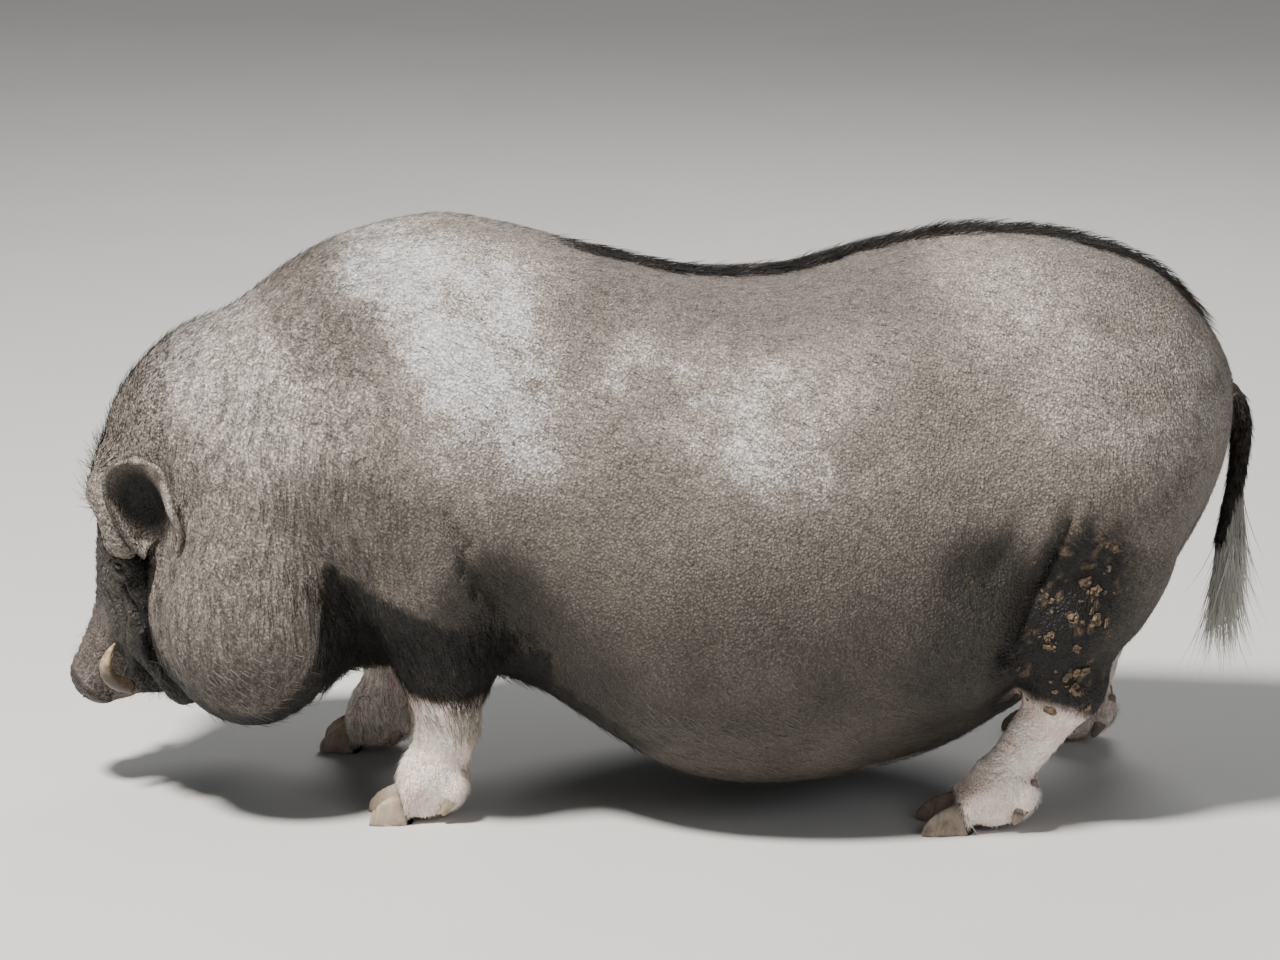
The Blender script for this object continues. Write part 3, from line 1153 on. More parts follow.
def make_eye(side, name):
    out = Vector((EYE_OUT.x, EYE_OUT.y * side, EYE_OUT.z))
    centre = Vector((EYE_CENTRE.x, EYE_CENTRE.y * side, EYE_CENTRE.z))
    bm = bmesh.new()
    bmesh.ops.create_uvsphere(bm, u_segments=40, v_segments=28, radius=EYE_RADIUS - 0.0002)
    for vert in bm.verts:
        front = vert.co.z / EYE_RADIUS
        vert.co *= 1.0 + CORNEA_BULGE / EYE_RADIUS * max(front - 0.75, 0.0) / 0.25
    turn = out.to_track_quat("Z", "Y").to_matrix().to_4x4()
    bmesh.ops.transform(bm, matrix=Matrix.Translation(centre) @ turn, verts=bm.verts)
    mesh = bpy.data.meshes.new(name)
    bm.to_mesh(mesh)
    bm.free()
    points = corners_of(mesh) - np.array(centre)
    forward = points @ np.array(out)
    aside = np.linalg.norm(points - forward[:, None] * np.array(out), axis=1)
    store(mesh, "aside", np.where(forward > 0, aside, EYE_RADIUS * 2))
    for face in mesh.polygons:
        face.use_smooth = True
    return add_object(name, mesh)


def eye_material():
    """Black pupil, dark brown iris with rays and a dull brownish white, all under water."""
    material, shader, place = start_material("wet_eye")
    aside = place.marking("aside")
    rays = place.grain(700.0)
    iris = place.mix((0.060, 0.026, 0.010, 1.0), (0.020, 0.009, 0.005, 1.0), rays)
    eye = iris.blend((0.002, 0.002, 0.002, 1.0), 1 - aside.ramp(PUPIL_REACH * 0.85, PUPIL_REACH * 1.1))
    eye = eye.blend((0.055, 0.040, 0.032, 1.0), aside.ramp(IRIS_REACH * 0.95, IRIS_REACH * 1.1))
    finish_material(shader, {"Base Color": eye, "Roughness": 0.06, "Coat Weight": 1.0, "Coat Roughness": 0.03})
    return material


WET_EYE = eye_material()
eyes = {side: make_eye(side, f"eyeball_{word}") for side, word in SIDES}
for eye in eyes.values():
    eye.data.materials.append(WET_EYE)
print("eyes look along", [round(v, 2) for v in EYE_OUT])

# %% [markdown]
# ## Tusks
# The lower tusks grow through the lips and curve up and back. Ivory is ringed and stained
# brown where it leaves the gum. A tube swept along a smooth path would do, but its rings
# are made here directly, so that they can taper and carry growth rings.

# %% A tapered tube along a path
TUSK_PATH = ((-0.490, 0.042, 0.106), (-0.504, 0.055, 0.112), (-0.512, 0.062, 0.127),
             (-0.510, 0.064, 0.142), (-0.502, 0.062, 0.153))
TUSK_RADII = (0.0070, 0.0069, 0.0060, 0.0040, 0.0010)


def smooth_path(path, steps):
    """Points of a quadratic B-spline that starts and ends at the path's ends."""
    path = [np.array(point) for point in path]
    middles = [path[0]] + [(a + b) / 2 for a, b in zip(path[1:-2], path[2:-1])] + [path[-1]]
    found = []
    for start, control, end in zip(middles, path[1:-1], middles[1:]):
        for k in range(steps):
            t = k / steps
            found.append((1 - t) ** 2 * start + 2 * t * (1 - t) * control + t ** 2 * end)
    return np.array(found + [path[-1]])


def swept_tube(name, path, radii, around, steps, swell=None):
    """A closed tube with a round tip. Swell gives a factor on the radius by share and angle."""
    line = smooth_path([tuple(point) + (radius,) for point, radius in zip(path, radii)], steps)
    centres, sizes = line[:, :3], line[:, 3]
    ways = np.gradient(centres, axis=0)
    ways /= np.linalg.norm(ways, axis=1)[:, None]
    first = np.cross(ways, (0.0, 1.0, 0.0))
    first /= np.linalg.norm(first, axis=1)[:, None]
    second = np.cross(ways, first)
    bm = bmesh.new()
    rings = []
    for index, (centre, size) in enumerate(zip(centres, sizes)):
        share = index / (len(centres) - 1)
        ring = []
        for k in range(around):
            angle = math.tau * k / around
            out = first[index] * math.cos(angle) + second[index] * math.sin(angle)
            factor = swell(share, angle) if swell else 1.0
            ring.append(bm.verts.new(centre + out * size * factor))
        rings.append(ring)
    for one, two in zip(rings, rings[1:]):
        for k in range(around):
            bm.faces.new((one[k], one[(k + 1) % around], two[(k + 1) % around], two[k]))
    for ring, centre, way in ((rings[0], centres[0], -ways[0]), (rings[-1], centres[-1], ways[-1])):
        cap = bm.verts.new(centre + way * (sizes[-1] if ring is rings[-1] else 0.0))
        for k in range(around):
            bm.faces.new((ring[k], ring[(k + 1) % around], cap))
    bmesh.ops.recalc_face_normals(bm, faces=bm.faces)
    for face in bm.faces:
        face.smooth = True
    mesh = bpy.data.meshes.new(name)
    bm.to_mesh(mesh)
    bm.free()
    return add_object(name, mesh)


def ivory_material():
    material, shader, place = start_material("stained_ivory")
    height = place.make("ShaderNodeSeparateXYZ", None, {0: place}, out="Z")
    streaks = place.grain(160.0, detail=5.0)
    rings = place.grain(55.0)
    ivory = place.mix((0.560, 0.450, 0.300, 1.0), (0.260, 0.170, 0.090, 1.0), streaks.ramp(0.35, 0.65))
    ivory = ivory.blend((0.065, 0.042, 0.026, 1.0), 1 - (height + 0.014 * rings).ramp(0.127, 0.146))
    finish_material(shader, {"Base Color": ivory, "Roughness": 0.30 + 0.25 * streaks, "Coat Weight": 0.25,
                             "Normal": bump(place, streaks, 0.0003, 0.5)})
    return material


STAINED_IVORY = ivory_material()
tusks = {}
for side, word in SIDES:
    path = [(x, y * side, z) for x, y, z in TUSK_PATH]
    tusks[side] = swept_tube(f"tusk_ivory_{word}", path, TUSK_RADII, 24, 12,
                             lambda share, angle: 1.0 + 0.02 * math.sin(share * 60) + 0.05 * math.cos(2 * angle))
    tusks[side].data.materials.append(STAINED_IVORY)
print("tusks", len(tusks[LEFT].data.polygons), "faces each")

# %% [markdown]
# ## Claws
# Each claw is a pointed hoof with a flat sole and a sloping coronet behind. A ball is
# stretched and tapered, and what would lie under the floor or behind the coronet is pressed
# flat. Horn grows in rings from the coronet, and breaks and wears at the edge.

# %% The claws and dewclaws
CLAW_HALF_WIDTH = 0.0120
CLAW_HEIGHT = 0.029


def make_claw(name, fetlock, side, claw):
    centre, way = toe_line(fetlock, side, claw, toe_reach(fetlock) - 0.004)
    length = FORE_CLAW if fetlock[0] < 0 else HIND_CLAW
    yaw = math.degrees(math.atan2(-way.y, -way.x))
    bm = bmesh.new()
    bmesh.ops.create_uvsphere(bm, u_segments=56, v_segments=40, radius=1.0)
    for vert in bm.verts:
        front = max(-vert.co.x, 0.0)
        vert.co.x *= length + 0.004
        vert.co.y *= CLAW_HALF_WIDTH * (1.0 - 0.30 * front ** 1.5)
        vert.co.z = vert.co.z * CLAW_HEIGHT * (1.0 - 0.15 * front) + 0.002
    place = Matrix.Translation(centre) @ rotation(0, yaw).to_4x4()
    bmesh.ops.transform(bm, matrix=place, verts=bm.verts)
    mesh = bpy.data.meshes.new(name)
    bm.to_mesh(mesh)
    bm.free()
    points, normals = corners_of(mesh), normals_of(mesh)
    from_coronet = (points - np.array(centre)) @ np.array(way) + 0.25 * points[:, 2]
    rings = 0.00035 * np.sin(from_coronet / 0.0042 * math.tau + 2 * noise(points, 0.012, 31))
    worn = 0.0008 * noise(points, 0.006, 32) * (1 - ease(points[:, 2], 0.0, 0.012))
    points = points + normals * (rings + worn - 0.0004)[:, None]
    block = coronet_block(fetlock, side)
    normal = block.turn @ np.array((-1.0, 0.0, 0.0))
    depth = (points - (block.centre - normal * block.half[0])) @ normal
    points = points - np.minimum(depth - 0.0004, 0.0)[:, None] * normal
    points[:, 2] = np.maximum(points[:, 2], 0.0)
    move_corners(mesh, points)
    store(mesh, "from_coronet", from_coronet)
    for face in mesh.polygons:
        face.use_smooth = True
    return add_object(name, mesh)


def make_dewclaw(name, fetlock, side, claw):
    start, end = dewclaw_line(fetlock, side, claw)
    way = (end - start).normalized()
    bm = bmesh.new()
    bmesh.ops.create_uvsphere(bm, u_segments=28, v_segments=20, radius=1.0)
    for vert in bm.verts:
        low = max(vert.co.z, 0.0)
        slim = 1 - 0.35 * low
        vert.co = Vector((vert.co.x * 0.0077 * slim, vert.co.y * 0.0087 * slim, vert.co.z * DEWCLAW_LENGTH * 0.99))
    place = Matrix.Translation(start) @ way.to_track_quat("Z", "Y").to_matrix().to_4x4()
    bmesh.ops.transform(bm, matrix=place, verts=bm.verts)
    mesh = bpy.data.meshes.new(name)
    bm.to_mesh(mesh)
    bm.free()
    points, normals = corners_of(mesh), normals_of(mesh)
    down = (points - np.array(start)) @ np.array(way)
    move_corners(mesh, points + normals * (0.0003 * np.sin(down / 0.003 * math.tau))[:, None])
    store(mesh, "from_coronet", down)
    for face in mesh.polygons:
        face.use_smooth = True
    return add_object(name, mesh)


def horn_material(name, pale, dark):
    """Horn in rings, scratched along its growth, with dirt in the low places."""
    material, shader, place = start_material(name)
    down = place.marking("from_coronet")
    rings = place.make("ShaderNodeTexNoise", {"noise_dimensions": "1D"}, {"W": down * 1.0, "Scale": 420.0})
    patchy = place.grain(70.0, detail=5.0)
    fine = place.grain(600.0)
    horn = place.mix(pale, dark, (0.9 * patchy + 0.20 * rings).ramp(0.35, 0.80))
    horn = horn.blend((0.060, 0.045, 0.032, 1.0), patchy.ramp(0.60, 0.72) * 0.8)
    height = 0.35 * rings + 0.4 * fine
    finish_material(shader, {"Base Color": horn.shade(0.75 + 0.4 * fine), "Roughness": 0.42 + 0.3 * patchy,
                             "Normal": bump(place, height, 0.0004, 0.7)})
    return material


FORE_HORN = horn_material("sandy_horn", (0.440, 0.350, 0.265, 1.0), (0.270, 0.205, 0.150, 1.0))
HIND_HORN = horn_material("brown_horn", (0.270, 0.215, 0.170, 1.0), (0.140, 0.105, 0.080, 1.0))
horns = {}
for side, word in SIDES:
    for pair, fetlock, horn in (("fore", FORE_FETLOCK[side], FORE_HORN), ("hind", HIND_FETLOCK[side], HIND_HORN)):
        for claw, place in ((-1, "inner"), (1, "outer")):
            node = f"{pair}_{word}_{place}"
            horns["claw_" + node] = make_claw("hoof_" + node, fetlock, side, claw)
            horns["dewclaw_" + node] = make_dewclaw("spur_" + node, fetlock, side, claw)
            for key in ("claw_", "dewclaw_"):
                horns[key + node].data.materials.append(horn)
print(len(horns), "claws and dewclaws")

# %% [markdown]
# ## The tail
# The tail hangs straight, thick at its root and slim at its brush. Rings of skin show where
# it bends. Its surface is the same hide as the body's, nearly all of it black.

# %% The tail
TAIL_PATH = ((0.515, 0.0, 0.392), (0.541, 0.0, 0.385), (0.5555, 0.0, 0.355), (0.5560, 0.0, 0.320),
             (0.5490, 0.0, 0.275), (0.5400, 0.0, 0.236))
TAIL_RADII = (0.0150, 0.0140, 0.0108, 0.0088, 0.0076, 0.0064)

tail = swept_tube("tail_hide", TAIL_PATH, TAIL_RADII, 28, 24,
                  lambda share, angle: 1.0 + 0.025 * math.sin(share * 110 + math.cos(angle)) - 0.03)
tail_points = corners_of(tail.data)
for name in MARKS:
    store(tail.data, name, np.full(len(tail_points), {"dust": 0.3}.get(name, 0.0)))
tail.data.attributes["black"].data.foreach_set(
    "value", (0.35 + 0.6 * (1 - ease(tail_points[:, 2], 0.33, 0.39))).astype(np.float32))
tail.data.materials.append(skin.data.materials[0])
print("tail hangs down to", round(float(tail_points[:, 2].min()), 3), "m")

# %% [markdown]
# ## How the coat is built
# Blender's hair curves look fine in a render but can't be exported as a mesh. So every tuft
# is a closed, tapered, three-sided blade that leaves the skin and bends over. Thousands
# are built at once with arrays. Each tuft's root is looked up on the unwrapped skin map, and
# the tuft gets a small patch there, so that a baked texture gives it its own colour.

# %% The map of the skin, and a lookup on it
MAP_NAME = "OFBake"
PATCH = 0.003             # of the map's width, for one tuft

bpy.context.view_layer.objects.active = skin_map
skin_map.select_set(True)
triangles = skin_map.modifiers.new("triangles", "TRIANGULATE")
apply_modifiers(skin_map)
bpy.ops.object.mode_set(mode="EDIT")
bpy.ops.mesh.select_all(action="SELECT")
bpy.ops.uv.smart_project(angle_limit=math.radians(70), island_margin=0.004)
bpy.ops.object.mode_set(mode="OBJECT")
skin_map.select_set(False)

map_corners = corners_of(skin_map.data)
map_faces = np.array([face.vertices[:] for face in skin_map.data.polygons])
flat = np.empty(len(skin_map.data.loops) * 2)
skin_map.data.uv_layers.active.data.foreach_get("uv", flat)
map_uvs = flat.reshape(-1, 3, 2)
map_tree = BVHTree.FromPolygons(map_corners.tolist(), map_faces.tolist(), all_triangles=True)


def place_on_map(points):
    """Where each point lies on the unwrapped skin."""
    found = np.array([map_tree.find_nearest(point)[2] for point in points.tolist()])
    a, b, c = (map_corners[map_faces[found, k]] for k in range(3))
    across, up, to = b - a, c - a, points - a
    d00, d01, d11 = ((across * across).sum(1), (across * up).sum(1), (up * up).sum(1))
    d20, d21 = (to * across).sum(1), (to * up).sum(1)
    scale = np.maximum(d00 * d11 - d01 * d01, 1e-18)
    v = np.clip((d11 * d20 - d01 * d21) / scale, 0, 1)
    w = np.clip((d00 * d21 - d01 * d20) / scale, 0, 1)
    shares = np.stack([np.clip(1 - v - w, 0, 1), v, w], axis=1)
    shares /= shares.sum(axis=1)[:, None]
    return (map_uvs[found] * shares[:, :, None]).sum(axis=1)


print("skin map unwrapped,", len(map_faces), "triangles")

# %% Tufts built all at once


def unit(vectors):
    return vectors / np.maximum(np.linalg.norm(vectors, axis=1), 1e-9)[:, None]


def tuft_mesh(name, roots, normals, lies, length, width, stand, droop, curl, chance, segments):
    """One closed blade for each root. Stand is the sine of the angle at which it leaves."""
    count = len(roots)
    lies = unit(lies - normals * (lies * normals).sum(axis=1)[:, None])
    beside = np.cross(normals, lies)
    stand = np.clip(stand, 0.02, 0.98)[:, None]
    way = lies * np.sqrt(1 - stand ** 2) + normals * stand
    up = np.cross(beside, way)
    sway = chance.normal(0, 1, count)[:, None] * curl
    points, shares = [], []
    for k in range(segments):
        share = k / segments
        bow = share ** 2
        centre = roots + length[:, None] * (way * share - normals * (0.35 * stand * bow) * (droop > 0)
                                            + beside * sway * bow)
        centre[:, 2] -= (length * droop * bow)
        centre -= normals * 0.0006 * (k == 0)
        slim = (width * (1.0 - 0.55 * share ** 1.5))[:, None]
        for across, high in ((-0.5, 0.0), (0.5, 0.0), (0.0, 0.42)):
            points.append(centre + beside * slim * across + up * slim * high)
            shares.append(share)
    tip = roots + length[:, None] * (way - normals * 0.35 * stand * (droop > 0) + beside * sway)
    tip[:, 2] -= length * droop
    points.append(tip)
    corners = np.stack(points, axis=1)
    per = corners.shape[1]
    faces = [(2, 1, 0)]
    for k in range(segments - 1):
        for c in range(3):
            a, b = k * 3 + c, k * 3 + (c + 1) % 3
            faces += [(a, b, b + 3), (a, b + 3, a + 3)]
    last = (segments - 1) * 3
    faces += [(last + c, last + (c + 1) % 3, per - 1) for c in range(3)]
    faces = np.array(faces)
    everything = (faces[None] + (np.arange(count) * per)[:, None, None]).reshape(-1, 3)
    mesh = bpy.data.meshes.new(name)
    mesh.vertices.add(count * per)
    mesh.vertices.foreach_set("co", corners.ravel())
    mesh.loops.add(len(everything) * 3)
    mesh.loops.foreach_set("vertex_index", everything.ravel().astype(np.int32))
    mesh.polygons.add(len(everything))
    mesh.polygons.foreach_set("loop_start", np.arange(0, len(everything) * 3, 3, dtype=np.int32))
    mesh.polygons.foreach_set("use_smooth", np.ones(len(everything), dtype=bool))
    mesh.update(calc_edges=True)
    along = np.array([k // 3 / segments for k in range(per - 1)] + [1.0])
    across = np.array([(0.0, 1.0, 0.5)[k % 3] for k in range(per - 1)] + [0.5])
    patch = np.stack([(across - 0.5) * PATCH, (along - 0.5) * PATCH], axis=1)
    uvs = place_on_map(roots)[:, None, :] + patch[None]
    layer = mesh.uv_layers.new(name=MAP_NAME)
    layer.data.foreach_set("uv", uvs.reshape(-1, 2)[everything.ravel()].ravel())
    store(mesh, "along", np.tile(along, count))
    return mesh, per


COAT = []


def grow(name, roots, normals, lies, length, width, stand, material, droop=0.0, curl=0.12, spread=0.22,
         tone=None, segments=2, seed=0):
    """Makes one coat piece. Lengths and widths vary, and the lie wanders with slow noise."""
    chance = np.random.default_rng(seed + 100)
    count = len(roots)
    wander = np.stack([noise(roots, 0.030, 41 + k) for k in range(3)], axis=1) * spread
    lies = unit(lies) + wander + chance.normal(0, spread * 0.5, (count, 3))
    length = length * chance.uniform(0.70, 1.15, count)
    width = width * chance.uniform(0.75, 1.20, count)
    stand = np.broadcast_to(stand, (count,)) * chance.uniform(0.6, 1.4, count)
    mesh, per = tuft_mesh(name, roots, normals, lies, length, width, stand, droop, curl, chance, segments)
    points = corners_of(mesh)
    points[:, 2] = np.maximum(points[:, 2], 0.0006)
    move_corners(mesh, points)
    for mark, values in markings(roots, normals[:, 2]).items():
        store(mesh, mark, np.repeat(values, per))
    tones = chance.uniform(0, 1, count) if tone is None else np.clip(tone + chance.normal(0, 0.12, count), 0, 1)
    store(mesh, "tone", np.repeat(tones, per))
    mesh.materials.append(material)
    piece = add_object(name, mesh)
    COAT.append(piece)
    print(name, count, "tufts,", len(mesh.polygons), "triangles")
    return piece


# %% [markdown]
# ## Where hair grows
# Roots are drawn on the skin's own faces, in proportion to their area and to a density that
# depends on the place. The lie of the coat is a direction for each root: back along the
# body, down the legs, up the face from the snout.

# %% Roots on the skin
skin.data.calc_loop_triangles()
triangle_corners = np.empty(len(skin.data.loop_triangles) * 3, dtype=np.int32)
skin.data.loop_triangles.foreach_get("vertices", triangle_corners)
triangle_corners = triangle_corners.reshape(-1, 3)
skin_points, skin_normals = corners_of(skin.data), normals_of(skin.data)
A, B, C = (skin_points[triangle_corners[:, k]] for k in range(3))
TRIANGLE_AREAS = np.linalg.norm(np.cross(B - A, C - A), axis=1) / 2
TRIANGLE_MIDDLES = (A + B + C) / 3
TRIANGLE_NORMALS = unit(skin_normals[triangle_corners].sum(axis=1))
HAIR_SHARE = 1.0


def roots_on_skin(count, density, seed):
    """Draws roots where the density, a function of place and normal, is high."""
    chance = np.random.default_rng(seed)
    weight = TRIANGLE_AREAS * np.clip(density(TRIANGLE_MIDDLES, TRIANGLE_NORMALS), 0, None)
    chosen = chance.choice(len(weight), int(count * HAIR_SHARE), p=weight / weight.sum())
    u, v = chance.uniform(0, 1, (2, len(chosen)))
    over = u + v > 1
    u, v = np.where(over, 1 - u, u), np.where(over, 1 - v, v)
    corners = skin_points[triangle_corners[chosen]]
    places = corners[:, 0] + u[:, None] * (corners[:, 1] - corners[:, 0]) + v[:, None] * (corners[:, 2] - corners[:, 0])
    return places, TRIANGLE_NORMALS[chosen]


def lie_of_coat(p):
    """Back along the body, down the legs, up and back on the face."""
    x, y, z = p.T
    lies = np.stack([np.ones(len(p)), 0.0 * y, -0.45 - 0.5 * (z < 0.30)], axis=1)
    leg = (1 - ease(z, 0.16, 0.26)) * ((x > -0.34) & (x < -0.06) | (x > 0.27))
    lies += leg[:, None] * np.array((-0.8, 0.0, -2.5))
    face = 1 - ease(x, -0.470, -0.430)
    lies = lies * (1 - face[:, None]) + face[:, None] * np.stack([0.6 + 0 * x, np.sign(y) * 0.5, 0.9 + 0 * x], axis=1)
    return unit(lies)


print("skin area", round(float(TRIANGLE_AREAS.sum()), 2), "square metres")

# %% Hair colours and material
BLACK_HAIR = (0.0035, 0.0032, 0.0030, 1.0)
BROWN_HAIR = (0.060, 0.038, 0.022, 1.0)
GREY_HAIR = (0.350, 0.320, 0.290, 1.0)
DUSTY_HAIR = (0.420, 0.400, 0.385, 1.0)
EARTHY_HAIR = (0.026, 0.022, 0.017, 1.0)
WHITE_HAIR = (0.900, 0.860, 0.790, 1.0)
STRAW_HAIR = (0.520, 0.420, 0.270, 1.0)


def hair_material(name, dark, light, pale_share=1.0, balance=0.5, pale_tips=0.0):
    """Dark to light by each tuft's own tone, paler where the skin is pale."""
    material, shader, place = start_material(name)
    tone, along = place.marking("tone"), place.marking("along")
    hair = place.mix(dark, light, (tone + (balance - 0.5)).ramp(0.30, 0.80))
    if pale_tips:
        hair = hair.blend(light, along * pale_tips)
    hair = hair.blend(DUSTY_HAIR, place.marking("bloom") * tone)
    hair = hair.blend(EARTHY_HAIR, place.marking("earth") * 0.8)
    hair = hair.blend(BLACK_HAIR, place.marking("black") * (1.0 - 0.35 * tone))
    hair = hair.blend(WHITE_HAIR, place.marking("pale") * pale_share)
    hair = hair.shade(0.75 + 0.45 * along)
    finish_material(shader, {"Base Color": hair, "Roughness": 0.42 + 0.2 * tone, "Specular IOR Level": 0.22})
    return material


BODY_HAIR = hair_material("body_hair", (0.095, 0.080, 0.067, 1.0), GREY_HAIR, balance=0.45)
BLACK_BRISTLE = hair_material("black_bristle", BLACK_HAIR, BROWN_HAIR, balance=0.30)
STRAW_FRINGE = hair_material("straw_fringe", STRAW_HAIR, WHITE_HAIR, pale_share=0.35)
TASSEL_HAIR = hair_material("tassel_hair", (0.050, 0.044, 0.038, 1.0), (0.930, 0.910, 0.860, 1.0), balance=0.52,
                            pale_tips=0.9)
print("four kinds of hair")

# %% Short flat hair over the body, in pieces that stay small
def trunk_density(side):
    def density(p, n):
        x, y, z = p.T
        here = (y * side > 0) & (x > -0.455)
        upper = 0.75 + 0.5 * ease(z, 0.25, 0.45)
        off_feet = ease(z, 0.10, 0.16)
        return here * upper * off_feet
    return density


for side, word in SIDES:
    for part, (low_x, high_x) in enumerate(((-0.455, 0.02), (0.02, 0.60))):
        density = trunk_density(side)
        roots, normals = roots_on_skin(
            16500, lambda p, n: density(p, n) * (p[:, 0] > low_x) * (p[:, 0] <= high_x), 10 + part)
        grow(f"coat_trunk_{word}_{'front' if part == 0 else 'rear'}", roots, normals, lie_of_coat(roots),
             0.0105, 0.00034, 0.12, BODY_HAIR, segments=2, seed=part)

# %% Legs and feet, smaller and closer


def leg_density(p, n):
    x, y, z = p.T
    return (z < 0.17) * ((x > -0.36) & (x < -0.07) | (x > 0.24)) * ease(z, 0.004, 0.012) * (1.6 - ease(z, 0.03, 0.12))


roots, normals = roots_on_skin(15500, leg_density, 21)
grow("coat_legs", roots, normals, lie_of_coat(roots), 0.0085, 0.00060, 0.14, BODY_HAIR, seed=21)

# %% Face: the smallest tufts


def face_density(p, n):
    x, y, z = p.T
    folded = fold_sides(p)
    from_eye = np.linalg.norm(folded - np.array(EYE_CENTRE + EYE_OUT * 0.010), axis=1)
    bare = ease((p - np.array(NOSE_CENTRE)) @ np.array(-NOSE_NORMAL), 0.012, 0.030)
    return (x < -0.450) * ease(from_eye, 0.010, 0.016) * bare * (0.5 + 1.0 * ease(z, 0.16, 0.28))


roots, normals = roots_on_skin(15000, face_density, 22)
grow("coat_face", roots, normals, lie_of_coat(roots), 0.0075, 0.00050, 0.16, BLACK_BRISTLE, seed=22)

# %% Crest: long black hair that stands along the back


def crest_density(p, n):
    x, y, z = p.T
    return (np.abs(y) < 0.020) * ease(x, -0.110, -0.05) * (1 - ease(x, 0.500, 0.525)) * (n[:, 2] > 0.4)


roots, normals = roots_on_skin(2100, crest_density, 23)
outwards = np.sign(roots[:, 1]) * 0.30
lies = np.stack([np.ones(len(roots)), outwards, np.full(len(roots), -0.1)], axis=1)
grow("crest_hair", roots, normals, lies, 0.027, 0.0008, 0.34, BLACK_BRISTLE, droop=0.08, curl=0.14, segments=3,
     seed=23)

# %% Poll and nape: bristles that stand off the forehead


def poll_density(p, n):
    x, y, z = p.T
    poll = (x < -0.42) * ease(z, 0.250, 0.300) * (1 - ease(np.abs(y), 0.035, 0.090))
    nape = (x >= -0.42) * (1 - ease(x, -0.35, -0.28)) * (1 - ease(np.abs(y), 0.025, 0.070)) * (n[:, 2] > 0.3) * 0.6
    hump = (x >= -0.29) * (x < -0.09) * (np.abs(y) < 0.030) * (n[:, 2] > 0.5) * 0.25
    return poll + nape + hump


roots, normals = roots_on_skin(2000, poll_density, 24)
lies = np.stack([np.full(len(roots), 0.55), roots[:, 1] * 6, 0.9 * (roots[:, 0] < -0.40)], axis=1)
forehead = (roots[:, 0] < -0.485) & (roots[:, 2] < 0.340)
reach = np.where(forehead, 0.025, np.where(roots[:, 0] < -0.42, 0.016, np.where(roots[:, 0] < -0.29, 0.012, 0.010)))
grow("poll_bristles", roots, normals, lies, reach, 0.00050, 0.42, BLACK_BRISTLE, tone=np.where(forehead, 0.2, 0.65),
     droop=0.05, curl=0.14, segments=3, seed=24)

# %% Elbow, forearm and the straw-coloured fringe behind the wrist


def elbow_density(p, n):
    x, y, z = p.T
    arm = (x > -0.30) * (x < -0.11) * band(z, 0.135, 0.205, 0.012) * (np.abs(y) > 0.085)
    cleft = near_line(p, ((-0.298, 0.245), (-0.275, 0.195), (-0.255, 0.150)), 0.026)
    return arm * (0.4 + ease(n[:, 0], -0.2, 0.6)) + cleft


def cuff_density(p, n):
    x, y, z = p.T
    return (x > -0.30) * (x < -0.12) * band(z, 0.085, 0.142, 0.008) * (0.35 + 1.2 * ease(n[:, 0], -0.1, 0.6))


roots, normals = roots_on_skin(2600, elbow_density, 25)
downward = np.tile((0.35, 0.0, -1.0), (len(roots), 1))
grow("elbow_hair", roots, normals, downward, 0.024, 0.00060, 0.18, BLACK_BRISTLE, droop=0.12, curl=0.20, segments=3,
     seed=25)
roots, normals = roots_on_skin(2600, cuff_density, 26)
downward = np.tile((0.30, 0.0, -1.0), (len(roots), 1))
grow("wrist_fringe", roots, normals, downward, 0.023, 0.00065, 0.28, STRAW_FRINGE, tone=0.28, droop=0.12, curl=0.22,
     segments=3, seed=26)

# %% Feet: tufts over the coronets and behind the dewclaws


def foot_density(p, n):
    x, y, z = p.T
    at_coronet = np.zeros(len(p))
    for block in CORONETS:
        at_coronet = np.maximum(at_coronet, 1 - ease(np.abs(block.distance(p)), 0.004, 0.010))
    behind = (ease(n[:, 0], 0.1, 0.7)) * band(z, 0.025, 0.060, 0.006)
    return (z > 0.006) * (z < 0.062) * ((x < -0.1) | (x > 0.2)) * (at_coronet + behind)


roots, normals = roots_on_skin(3600, foot_density, 27)
downward = np.tile((-0.15, 0.0, -1.0), (len(roots), 1))
grow("foot_tufts", roots, normals, downward, 0.011, 0.00060, 0.16, STRAW_FRINGE, tone=0.8, droop=0.05, seed=27)

# %% Belly line and jowl: sparse long hairs


def low_line_density(p, n):
    x, y, z = p.T
    belly = (x > -0.12) * (x < 0.30) * (n[:, 2] < -0.25) * (z < 0.14)
    throat = (x < -0.28) * (x > -0.47) * (n[:, 2] < -0.2) * 0.8
    return belly + throat


roots, normals = roots_on_skin(3000, low_line_density, 28)
backward = np.tile((0.9, 0.0, -0.5), (len(roots), 1))
grow("belly_hair", roots, normals, backward, 0.017, 0.00070, 0.18, BODY_HAIR, tone=0.75, droop=0.08, segments=3,
     seed=28)

# %% Ears: a fine fringe on the rim and short hair on the back


def roots_on_mesh(mesh, count, density, seed):
    """Draws roots on the corners of a small, fine mesh."""
    chance = np.random.default_rng(seed)
    points, normals = corners_of(mesh), normals_of(mesh)
    weight = np.clip(density(points, normals), 0, None)
    chosen = chance.choice(len(points), int(count * HAIR_SHARE), p=weight / weight.sum())
    return points[chosen] + chance.normal(0, 0.0005, (len(chosen), 3)), normals[chosen]


